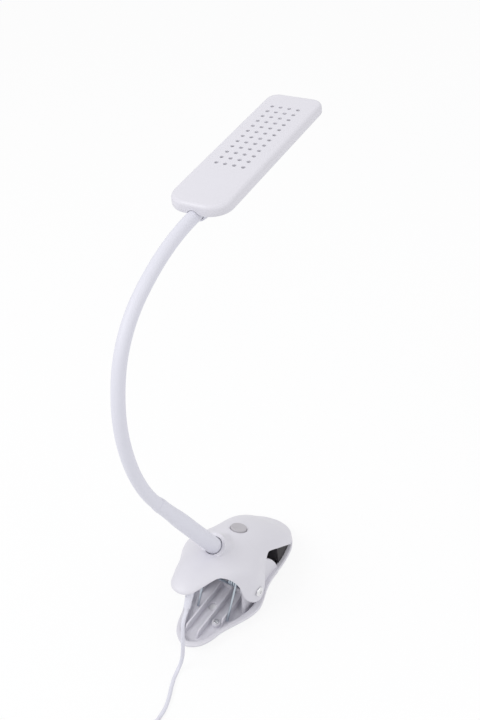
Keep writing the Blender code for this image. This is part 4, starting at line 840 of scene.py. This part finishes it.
class LAMP_OT_upper_shell(bpy.types.Operator):
    """Make the domed upper shell with its boss, its ears and its openings"""
    bl_idname = "lamp.upper_shell"
    bl_label = "Upper shell"

    def execute(self, context):
        settings, looks = context.scene.lamp_clip, finishes()
        shell = skin("domed_shell", in_clip(shell_grid()).transpose(1, 0, 2), False, False, False)
        if max(p.normal.z for p in shell.data.polygons[:400]) < 0:
            shell.data.flip_normals()
        wall = shell.modifiers.new("wall", "SOLIDIFY")
        wall.thickness = settings.wall
        wall.offset = -1.0
        soft = shell.modifiers.new("rim", "BEVEL")
        soft.width = settings.edge
        soft.segments = 3
        soft.limit_method = "ANGLE"
        soft.angle_limit = math.radians(50)
        settle(shell)
        clean(shell)
        entry = in_clip((0, 0, ENTRY_Z))
        along = cuff_direction()
        boss = turned("boss", boss_profile(), entry, along, 96)
        combine(boss, [under_dome("under", settings.wall / 2)], "DIFFERENCE")
        combine(shell, [boss], "UNION")
        self.fillet(shell, entry, along)
        combine(shell, self.inside_parts(entry, along, settings), "UNION")
        combine(shell, self.openings(entry, along, settings), "DIFFERENCE")
        clean(shell)
        place(shell, "upper_clip", looks["white_plastic"], "white_plastic", "upper_shell")
        return {"FINISHED"}

    def fillet(self, shell, entry, along):
        """Smooth the shell round the boss's foot: weights fall to none within reach of the crease."""
        mesh, reach = shell.data, 0.0034
        points = np.empty(len(mesh.vertices) * 3)
        mesh.vertices.foreach_get("co", points)
        points = points.reshape(-1, 3)
        bm = bmesh.new()
        bm.from_mesh(mesh)
        crease = [v.index for v in bm.verts if any(len(e.link_faces) == 2 and e.calc_face_angle() > 0.22
                                                   for e in v.link_edges)]
        bm.free()
        sharp = points[crease] - entry
        depth = sharp @ along
        radius = np.linalg.norm(sharp - depth[:, None] * along, axis=1)
        sharp = sharp[(depth < -0.0022) & (depth > -0.0152) & (radius > 0.0080) & (radius < 0.0140)] + entry
        near = np.min(np.linalg.norm(points[:, None] - sharp[None, ::3], axis=2), axis=1)
        weight = np.clip(1 - near / reach, 0, 1)
        group = shell.vertex_groups.new(name="foot")
        for step in range(1, 11):
            chosen = np.flatnonzero((weight > (step - 1) / 10) & (weight <= step / 10))
            group.add(chosen.tolist(), step / 10, "REPLACE")
        soft = shell.modifiers.new("foot", "SMOOTH")
        soft.factor = 0.5
        soft.iterations = 24
        soft.vertex_group = "foot"
        settle(shell)
        shell.vertex_groups.clear()

    def inside_parts(self, entry, along, settings):
        """Sleeve for the neck's nut, lug for the cord's relief and two posts for the inner cover."""
        sleeve = rod("sleeve", LIP_RADIUS - 0.0003, -0.0177, -0.0050, entry, along, 64)
        lug = rod("lug", 0.0031, -0.0070, -GAP, in_clip(CORD_EXIT), CORD_HEADING, 32)
        centre, direction = button_place()
        forward = np.array((0.0, math.cos(BUTTON_TILT), math.sin(BUTTON_TILT)))
        parts = [lug]
        for x, y in TRAY_POSTS:
            top = in_clip(centre + direction * 0.004 + forward * y + (x, 0, 0))
            parts.append(rod("post", 0.0028, -0.0155, 0.0, top, direction, 32))
        kept = []
        for part in parts + [sleeve]:
            lid = part.modifiers.new("lid", "BOOLEAN")
            lid.operation = "INTERSECT"
            lid.solver = "EXACT"
            lid.object = under_dome("under", settings.wall / 2)
            tool = lid.object
            settle(part)
            bpy.data.objects.remove(tool)
            kept.append(part)
        return kept

    def openings(self, entry, along, settings):
        """Cutters for the neck's bore, the button, the pin with its seats and the inner cover's screws."""
        centre, direction = button_place()
        forward = np.array((0.0, math.cos(BUTTON_TILT), math.sin(BUTTON_TILT)))
        pin, seat, out = settings.pin_radius + GAP, 0.0036, 0.0278
        step = ((0, -0.05), (seat, -0.05), (seat, -out), (pin, -out),
                (pin, out), (seat, out), (seat, 0.05), (0, 0.05))
        mouth = ((0, -0.03), (CUFF_RADIUS + GAP, -0.03), (CUFF_RADIUS + GAP, -0.0010),
                 (CUFF_RADIUS + 0.0005, 0.0), (CUFF_RADIUS + 0.0008, 0.0004),
                 (CUFF_RADIUS + 0.0008, 0.01), (0, 0.01))
        cutters = [turned("bore", mouth, entry, along, 80),
                   rod("button_hole", BUTTON_RADIUS + 0.0004, -0.01, 0.01, in_clip(centre), direction, 72),
                   turned("pin_hole", step, in_clip(HINGE), (1, 0, 0), 56)]
        for x, y in TRAY_POSTS:
            top = in_clip(centre + direction * 0.004 + forward * y + (x, 0, 0))
            cutters.append(rod("post_hole", 0.0013, -0.0225, -0.0075, top, direction, 20))
        return cutters


# ---------------------------------------------------------------- lower shell
def pan_grid(settings):
    """Pan and flange: each (share, height) of a rounded profile grows the outline from the middle line."""
    loop = full_loop(half_outline(LOWER_OUTLINE, 9))
    rim, low, wall = settings.rim_height, settings.rim_height - settings.flange, settings.pan_wall
    reach = 0.022
    outside = softened(np.array(((0.50 * reach, 0), (0.70 * reach, 0), (0.765 * reach, 0.0016),
                                 (0.86 * reach, low), (reach, low), (reach, rim), (0.845 * reach, rim),
                                 (0.80 * reach, rim - 0.0012), (0.74 * reach, wall + 0.0006),
                                 (0.71 * reach, wall), (0.50 * reach, wall))), 0.0009, steps=6)
    profile = np.vstack([((0, 0), (0.3 * reach, 0)), outside, ((0.3 * reach, wall), (0, wall))])
    share = (profile[:, 0] / reach)[:, None, None]
    middle = spine_of(loop)[None]
    plan = middle + share * (loop[None] - middle)
    height = np.broadcast_to(profile[:, 1][:, None, None], plan.shape[:2] + (1,))
    return in_clip(np.concatenate([plan, height], axis=2))


def ear_outline(settings):
    """Side view of a lower ear: a gusset that rises from the pan to a round lobe about the pin."""
    turn = np.linspace(math.radians(215), math.radians(60), 28)
    lobe = HINGE[1:] + LOBE_RADIUS * np.column_stack([np.cos(turn), np.sin(turn)])
    front = smooth_path((tuple(lobe[-1]), (0.0170, 0.0312), (0.0235, 0.0310), (0.0290, 0.0280),
                         (0.0340, 0.0215), (0.0375, 0.0145), (0.0395, settings.rim_height - 0.0012)), 8)[1:]
    foot = ((0.0395, settings.pan_wall - 0.001), (-0.0030, settings.pan_wall - 0.001))
    return np.vstack([lobe, front, foot]) + ENTRY[1:]


class LAMP_OT_lower_shell(bpy.types.Operator):
    """Make the lower shell with its flange, its ribs and its ears"""
    bl_idname = "lamp.lower_shell"
    bl_label = "Lower shell"

    def execute(self, context):
        settings, looks = context.scene.lamp_clip, finishes()
        pan = skin("ribbed_pan", pan_grid(settings), False, False, False)
        wall, rim = settings.pan_wall, 0.0072
        ears = [slab("ear", ear_outline(settings), ENTRY[0] + min(a, b), ENTRY[0] + max(a, b), settings.edge)
                for a, b in ((0.0195, 0.0169), (-0.0195, -0.0169))]
        ribs = []
        for x, rear in RIBS:
            corners = ((rear, wall - 0.001), (0.0120, wall - 0.001), (0.0120, rim), (rear + 0.004, rim))
            side = softened(corners, 0.0012, True) + ENTRY[1:]
            ribs.append(slab("rib", side, ENTRY[0] + x - 0.0007, ENTRY[0] + x + 0.0007, 0.0003))
        for part in ears + ribs:
            combine(pan, [part], "UNION")
        tie = slab("tie", softened(((0.0103, wall - 0.0007), (0.0117, wall - 0.0007), (0.0117, wall + 0.0033),
                                    (0.0103, wall + 0.0033)), 0.00025, True) + ENTRY[1:],
                   ENTRY[0] - 0.0081, ENTRY[0] + 0.0105, 0.00025)
        post = turned("post", ((0, 0.001), (0.0030, 0.001), (0.0030, 0.0053), (0.0027, 0.0056), (0, 0.0056)),
                      in_clip(LOWER_SCREW), (0, 0, 1), 40)
        combine(pan, [tie], "UNION")
        combine(pan, [post], "UNION")
        holes = [rod("pin_hole", settings.pin_radius + 0.0004, -0.05, 0.05, in_clip(HINGE), (1, 0, 0), 48),
                 rod("screw_hole", 0.0013, 0.0008, 0.02, in_clip(LOWER_SCREW), (0, 0, 1), 24)]
        soft = softened(((0, -0.002), (0.0030, -0.002), (0.0030, wall - 0.0004), (0.0035, wall + 0.0002),
                         (0.0035, 0.004), (0, 0.004)), 0.0002)
        holes.append(turned("moulding_hole", soft, in_clip(PAN_HOLE), (0, 0, 1), 44))
        combine(pan, holes, "DIFFERENCE")
        clean(pan)
        place(pan, "lower_clip", looks["white_plastic"], "white_plastic", "lower_shell")
        return {"FINISHED"}


# ---------------------------------------------------------------- hinge
def spring_path(settings):
    """Spring: from its bridge to a coil about the pin, then down a leg to the pan, and the same mirrored."""
    hinge, reach = HINGE[1:], 0.0042
    bridge = np.array((-0.0170, 0.0575))
    foot = np.array((-0.0130, settings.pan_wall + GAP + settings.wire_radius))

    def touch(point, side):
        away = point - hinge
        return math.atan2(away[1], away[0]) + side * math.acos(reach / np.linalg.norm(away))

    turns = settings.spring_turns
    first = touch(bridge, 1)
    last = touch(foot, -1) + 2 * math.pi * (turns + 1)
    last -= 2 * math.pi * round((last - first - 2 * math.pi * (turns + 0.85)) / (2 * math.pi))
    turn = np.linspace(first, last, int(36 * (last - first) / (2 * math.pi)) + 1)
    pitch = 2 * settings.wire_radius + GAP
    coil = np.column_stack([0.0050 + pitch * (turn - first) / (2 * math.pi), hinge[0] + reach * np.cos(turn),
                            hinge[1] + reach * np.sin(turn)])
    corner = (0.0050, *(bridge + (0.0004, -0.0012)))
    start = softened(((0.0, *bridge), corner, coil[0]), 0.0022, steps=9)
    leg = np.linspace(coil[-1], (coil[-1, 0], *foot), 24)
    half = np.vstack([start[:-1], np.linspace(start[-2], coil[0], 20)[1:-1], coil, leg[1:]])
    return in_clip(np.vstack([half[1:][::-1] * (-1, 1, 1), half]))


class LAMP_OT_hinge(bpy.types.Operator):
    """Make the hinge pin and the double torsion spring"""
    bl_idname = "lamp.hinge"
    bl_label = "Hinge"

    def execute(self, context):
        settings, looks = context.scene.lamp_clip, finishes()
        seat, head, thick = 0.0281, 0.0033, 0.0016
        dome = np.linspace(0.12, 1.05, 10)
        profile = np.vstack([((0, -seat - thick), (settings.pin_radius - 0.0003, -seat - thick),
                              (settings.pin_radius, -seat - thick + 0.0003), (settings.pin_radius, seat),
                              (head, seat)),
                             np.column_stack([head * np.cos(dome * 0.98 + 0.031), seat + 0.0003
                                              + (thick - 0.0003) * np.sin(dome)]),
                             ((0.0011, seat + 0.0013), (0.0009, seat + 0.0004), (0, seat + 0.0003))])
        pin = turned("domed_pin", profile, in_clip(HINGE), (1, 0, 0), 48)
        place(pin, "upper_clip", looks["polished_steel"], "polished_steel", "hinge_pin")
        spring = swept("wound_spring", spring_path(settings), settings.wire_radius, 12)
        place(spring, None, looks["spring_steel"], "spring_steel", "clip_spring")
        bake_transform(spring)
        return {"FINISHED"}


# ---------------------------------------------------------------- neck
def neck_line(at):
    """Places and directions along the neck: a straight cuff, then arcs, each point reached by its chord."""
    at = np.atleast_1d(np.asarray(at, dtype=float))
    places, headings = np.zeros((len(at), 2)), np.full(len(at), CUFF_HEADING)
    straight = np.minimum(at, CUFF_LENGTH)
    places += straight[:, None] * np.array((math.cos(CUFF_HEADING), math.sin(CUFF_HEADING)))
    left = np.maximum(at - CUFF_LENGTH, 0.0)
    for length, degrees in NECK_ARCS:
        part = np.minimum(left, length)
        bend = math.radians(degrees) * part / length
        chord = part * np.sinc(bend / 2 / math.pi)
        middle = headings + bend / 2
        places += chord[:, None] * np.column_stack([np.cos(middle), np.sin(middle)])
        headings = headings + bend
        left = left - part
    zero = np.zeros(len(at))
    points = np.column_stack([zero, places[:, 0], places[:, 1] + ENTRY_Z])
    return points, np.column_stack([zero, np.cos(headings), np.sin(headings)])


def neck_tube(name, at, outer, inner, sides=32):
    """Tube along the neck: an outer and an inner circle carried along its line, joined at both ends."""
    points, ahead = neck_line(at)
    up = np.cross(ahead, (1.0, 0.0, 0.0))
    turn = np.linspace(0, 2 * math.pi, sides, endpoint=False)[None, :, None]
    circle = np.cos(turn) * np.array((1.0, 0.0, 0.0)) + np.sin(turn) * up[:, None]
    outside = points[:, None] + np.broadcast_to(outer, len(points))[:, None, None] * circle
    inside = points[:, None] + np.broadcast_to(inner, len(points))[:, None, None] * circle
    return skin(name, in_neck(np.concatenate([outside, inside[::-1]])), True)


class LAMP_OT_neck(bpy.types.Operator):
    """Make the neck's cuff and its sleeve, in one length for each joint"""
    bl_idname = "lamp.neck"
    bl_label = "Neck"

    def execute(self, context):
        settings, looks = context.scene.lamp_neck, finishes()
        at = np.concatenate([[-CUFF_TAIL], np.linspace(-0.0004, 0.0984, 70), [0.0988, 0.0990]])
        radius = curve_value(((-CUFF_TAIL, CUFF_RADIUS), (0.0, CUFF_RADIUS), (0.030, 0.0053), (0.066, 0.0050),
                              (0.074, 0.0046), (0.085, 0.0043), (0.0984, settings.cuff_tip),
                              (0.0988, settings.cuff_tip - 0.0001),
                              (0.0990, settings.cuff_tip - 0.00022)), at)
        bore = settings.radius - settings.wall
        cuff = neck_tube("tapered_cuff", at, radius, bore, 56)
        place(cuff, "upper_clip", looks["white_sleeve"], "white_sleeve", "neck_cuff")
        middles = [(a + b) / 2 for a, b in zip(NECK_JOINTS, NECK_JOINTS[1:])]
        ends = [0.0970, *middles, NECK_LENGTH]
        for number, joint in enumerate(NECK_JOINTS, 1):
            start, end = ends[number - 1], ends[number]
            at = np.linspace(start, end, int((end - start) / 0.0011))
            sleeve = neck_tube(f"sleeve_length_{number}", at, settings.radius, bore)
            place(sleeve, None, looks["white_sleeve"], "white_sleeve", f"neck_sleeve_{number}")
            points, _ = neck_line((joint - 0.0055, joint + 0.0055))
            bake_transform(sleeve)
        return {"FINISHED"}


# ---------------------------------------------------------------- head
def head_outline(settings, inset):
    middle = HEAD_NEAR + settings.length / 2
    return rounded_rectangle(settings.width - 2 * inset, settings.length - 2 * inset, 0.0070 - inset, middle,
                             0.0125 - inset)


def head_rings(settings):
    """Cover: rings of the inside, the skirt, a quarter-round edge, then the crowned top's shrinking rings."""
    low = settings.top - HEAD_THICKNESS + 0.0001
    wall, inside_top = HEAD_WALL, settings.top - 0.0009
    turn = np.linspace(0, math.pi / 2, 9)
    insets = [wall, wall, 0.0009, 0.0003, 0.0, 0.0]
    shoulder = settings.top - settings.edge - 0.0011
    levels = [inside_top - 0.0020, low, low, low + 0.0003, low + 0.0009, shoulder]
    insets += list(settings.edge * (1 - np.cos(turn)))
    levels += list(settings.top - settings.edge * (1 - np.sin(turn)))
    rings = []
    for number, (inset, level) in enumerate(zip(insets, levels)):
        outline = head_outline(settings, inset)
        sag = settings.crown * (outline[:, 0] / (settings.width / 2))**2 * (number > 5)
        rings.append(np.column_stack([outline, level - sag]))
    edge = head_outline(settings, settings.edge)
    middle_y = np.clip(edge[:, 1], HEAD_NEAR + 0.02, HEAD_NEAR + settings.length - 0.02)
    middle = np.column_stack([np.zeros(len(edge)), middle_y])
    for share in (0.82, 0.6, 0.35, 0.0):
        plan = middle + (edge - middle) * share
        rings.append(np.column_stack([plan, settings.top - settings.crown
                                      * (plan[:, 0] / (settings.width / 2))**2]))
    under = [np.column_stack([middle + (edge - middle) * share,
                              np.full(len(edge), inside_top - settings.crown)]) for share in (0.0, 0.6, 1.0)]
    return np.array(under + rings)


def vent_cutters(settings):
    """All vents as one object: slightly oval sinks, wider at the surface, on a regular pattern."""
    rows = (np.arange(settings.vent_rows) - (settings.vent_rows - 1) / 2) * VENT_PITCH[1] + VENTS_MIDDLE
    columns = (np.arange(settings.vent_columns) - (settings.vent_columns - 1) / 2) * VENT_PITCH[0]
    turn = np.linspace(0, 2 * math.pi, 18, endpoint=False)
    radius = settings.vent_radius
    top = settings.top
    steps = ((radius, top - 0.004), (radius, top - 0.00035), (radius * 1.04, top - 0.0002),
             (radius * 1.14, top + 0.0001), (radius * 1.14, top + 0.001))
    cutters = []
    for y in rows:
        for x in columns:
            grid = np.array([np.column_stack([x + r * np.cos(turn), y + VENT_OVAL * r * np.sin(turn),
                                              np.full(18, z)]) for r, z in steps])
            cutters.append(skin("vent", in_neck(grid)))
    return cutters


def head_floor(settings):
    """Base plate inside the cover's skirt, with the diffuser's window and the neck's socket under it."""
    bottom = settings.top - HEAD_THICKNESS
    high = bottom + 0.0016
    outline = in_neck(np.insert(head_outline(settings, HEAD_WALL + 0.0002), 2, 0, axis=1))[:, :2]
    base = slab("framed_base", outline, bottom + 0.0002, high, 0.0003, "Z")
    width, length, middle = DIFFUSER
    window = rounded_rectangle(width + 2 * GAP, length + 2 * GAP, 0.003, middle)
    window = in_neck(np.insert(window, 2, 0, axis=1))[:, :2]
    near, reach, radius = SOCKET
    tip, _ = neck_line(NECK_LENGTH)
    start = in_neck(((0, 0, tip[0, 2]),))[0]
    axis = in_neck(((0, 1, 0),))[0] - in_neck(((0, 0, 0),))[0]
    barrel = softened(((radius - 0.0006, near), (radius, near + 0.0006), (radius, near + reach * 0.45),
                       (radius * 0.7, near + reach * 0.8), (0.0012, near + reach), (0, near + reach)), 0.003)
    socket = turned("socket", np.vstack([((0, near),), barrel]), start, axis, 64)
    roof = in_neck(np.array(((-0.02, 0.02, 0), (0.02, 0.02, 0), (0.02, 0.08, 0), (-0.02, 0.08, 0))))[:, :2]
    combine(socket, [slab("roof", roof, high - 0.0004, high + 0.03, 0.0002, "Z")], "DIFFERENCE")
    combine(base, [socket], "UNION")
    combine(base, [slab("window", window, bottom - 0.01, high + 0.01, 0.0002, "Z")], "DIFFERENCE")
    bore = rod("bore", SLEEVE_RADIUS + GAP, HEAD_NEAR - 0.02, tip[0, 1] + GAP, start, axis, 56)
    combine(base, [bore], "DIFFERENCE")
    holes = []
    for number in (1, 2):
        low, top = (np.array(corner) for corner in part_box(f"head_screw_{number}"))
        spot = np.append(((low + top) / 2)[:2], bottom)
        seat = ((0, -0.002), (0.0023, -0.002), (0.0023, 0.0011),
                (0.0013, 0.0011), (0.0013, 0.005), (0, 0.005))
        holes.append(turned("screw_hole", seat, spot, (0, 0, 1), 36))
    combine(base, holes, "DIFFERENCE")
    clean(base)
    return base


class LAMP_OT_head(bpy.types.Operator):
    """Make the head's vented cover and the base plate under it"""
    bl_idname = "lamp.head"
    bl_label = "Head"

    def execute(self, context):
        settings, looks = context.scene.lamp_head, finishes()
        cover = skin("vented_cover", in_neck(head_rings(settings)), False, False, False)
        combine(cover, vent_cutters(settings), "DIFFERENCE")
        tip, _ = neck_line(NECK_LENGTH)
        axis = in_neck(((0, 1, 0),))[0] - in_neck(((0, 0, 0),))[0]
        mouth = in_neck(((0, HEAD_NEAR, tip[0, 2]),))[0]
        notch = rod("notch", SLEEVE_RADIUS + GAP, -0.02, 0.02, mouth, axis, 64)
        combine(cover, [notch], "DIFFERENCE")
        clean(cover)
        place(cover, "head", looks["white_plastic"], "white_plastic", "head_cover", angle=28.0)
        place(head_floor(settings), "head", looks["white_plastic"], "white_plastic", "head_base")
        return {"FINISHED"}


# ---------------------------------------------------------------- button and screws
class LAMP_OT_button(bpy.types.Operator):
    """Make the dished push button"""
    bl_idname = "lamp.button"
    bl_label = "Button"

    def execute(self, context):
        looks = finishes()
        centre, direction = button_place()
        r = BUTTON_RADIUS
        dish = np.linspace(0, 1, 14)
        face = np.column_stack([dish * (r - 0.0012), 0.0004 + 0.0004 * dish**2])
        edge = softened(((r - 0.0012, 0.0008), (r - 0.0004, 0.0009), (r, 0.0003), (r, -0.0036),
                         (r + 0.0010, -0.0036), (r + 0.0010, -0.0046), (0.0018, -0.0046), (0.0018, -0.0052),
                         (0, -0.0052)), 0.0004)
        cap = turned("dished_button", np.vstack([face, edge[1:]]), in_clip(centre), direction, 72)
        place(cap, "button", looks["grey_button"], "grey_button", "button_cap")
        return {"FINISHED"}


def cross_screw(name, node, inward, length=0.0040):
    """Screw in its node's place: a domed head with a cross recess, and a threaded shank."""
    low, high = (np.array(corner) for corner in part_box(node))
    inward = np.asarray(inward, dtype=float)
    middle = (low + high) / 2
    mouth = middle - inward / np.linalg.norm(inward) * length / 2
    head = softened(((0.0, 0.0), (0.0017, 0.00005), (0.0020, 0.00035), (0.0020, 0.0008),
                     (0.0011, 0.0008)), 0.0002)
    along = np.linspace(0.0009, length - 0.0004, 64)
    thread = np.column_stack([0.00092 + 0.00012 * np.cos((along - 0.0009) * 2 * math.pi / 0.0006), along])
    screw = turned(name, np.vstack([head, thread, ((0.0004, length), (0, length))]), mouth, inward, 32)
    along_axis, side, up = axes_of(inward)
    arms = []
    for first, second in ((side, up), (up, side)):
        corners = np.array(((-1, -1), (1, -1), (1, 1), (-1, 1)), dtype=float) * (0.0012, 0.00022)
        ring = corners[:, :1] * first + corners[:, 1:] * second
        grid = np.array([mouth + ring * scale + along_axis * depth for depth, scale in
                         ((-0.001, 1.15), (0.0, 1.0), (0.00042, 0.72))])
        arms.append(skin("arm", grid))
    combine(arms[0], [arms[1]], "UNION")
    combine(screw, [arms[0]], "DIFFERENCE")
    clean(screw)
    return screw


class LAMP_OT_screws(bpy.types.Operator):
    """Make the five cross-head screws"""
    bl_idname = "lamp.screws"
    bl_label = "Screws"

    def execute(self, context):
        looks = finishes()
        _, out = button_place()
        for node, body, inward in (("head_screw_1", "head", (0, 0, 1)), ("head_screw_2", "head", (0, 0, 1)),
                                   ("cover_screw_1", "upper_clip", out), ("cover_screw_2", "upper_clip", out),
                                   ("lower_screw", "lower_clip", (0, 0, -1))):
            screw = cross_screw(f"cross_{node}", node, inward)
            place(screw, body, looks["polished_steel"], "polished_steel", node)
        return {"FINISHED"}


class LAMP_OT_finishes(bpy.types.Operator):
    """Give every piece that is carried over from the frame its finish"""
    bl_idname = "lamp.finishes"
    bl_label = "Finishes"

    def execute(self, context):
        looks = finishes()
        carried = {
            "white_plastic": ("inner_cover", "neck_nut"),
            "white_sleeve": ("head_collar",),
            "black_rubber": ("upper_jaw_pad", "lower_jaw_pad", "cord_tie", "tact_switch"),
            "polished_steel": ("pin_cap", "plug_shell"),
            "spring_steel": tuple(f"neck_core_{number}" for number in range(7)),
            "milky_diffuser": ("diffuser",),
            "circuit_board": ("led_board", "switch_board"),
        }
        for slot, nodes in carried.items():
            for node in nodes:
                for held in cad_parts[node].material_slots:
                    held.material = looks[slot]
        return {"FINISHED"}


# ---------------------------------------------------------------- add-on
class LAMP_PT_panel(bpy.types.Panel):
    """Lists the lamp's settings and the operators that make its pieces"""
    bl_idname = "LAMP_PT_panel"
    bl_label = "Reading lamp"
    bl_space_type = "VIEW_3D"
    bl_region_type = "UI"
    bl_category = "Lamp"

    def draw(self, context):
        for name, settings in SETTINGS.items():
            box = self.layout.box()
            box.label(text=settings.__doc__)
            for key in settings.__annotations__:
                box.prop(getattr(context.scene, name), key)
        for operator in OPERATORS:
            self.layout.operator(operator.bl_idname)


SETTINGS = {"lamp_clip": ClipSettings, "lamp_neck": NeckSettings, "lamp_head": HeadSettings,
            "lamp_cord": CordSettings, "lamp_finishes": FinishSettings, "lamp_stage": StageSettings}
OPERATORS = (LAMP_OT_stage, LAMP_OT_cord, LAMP_OT_upper_shell, LAMP_OT_lower_shell, LAMP_OT_hinge,
             LAMP_OT_neck, LAMP_OT_head, LAMP_OT_button, LAMP_OT_screws, LAMP_OT_finishes)


def register():
    for name, settings in SETTINGS.items():
        bpy.utils.register_class(settings)
        setattr(bpy.types.Scene, name, PointerProperty(type=settings))
    for operator in OPERATORS:
        bpy.utils.register_class(operator)
    bpy.utils.register_class(LAMP_PT_panel)


def unregister():
    bpy.utils.unregister_class(LAMP_PT_panel)
    for operator in reversed(OPERATORS):
        bpy.utils.unregister_class(operator)
    for name, settings in reversed(SETTINGS.items()):
        delattr(bpy.types.Scene, name)
        bpy.utils.unregister_class(settings)


def main():
    register()
    for operator in OPERATORS:
        group, call = operator.bl_idname.split(".")
        getattr(getattr(bpy.ops, group), call)()


if __name__ == "__main__":
    main()
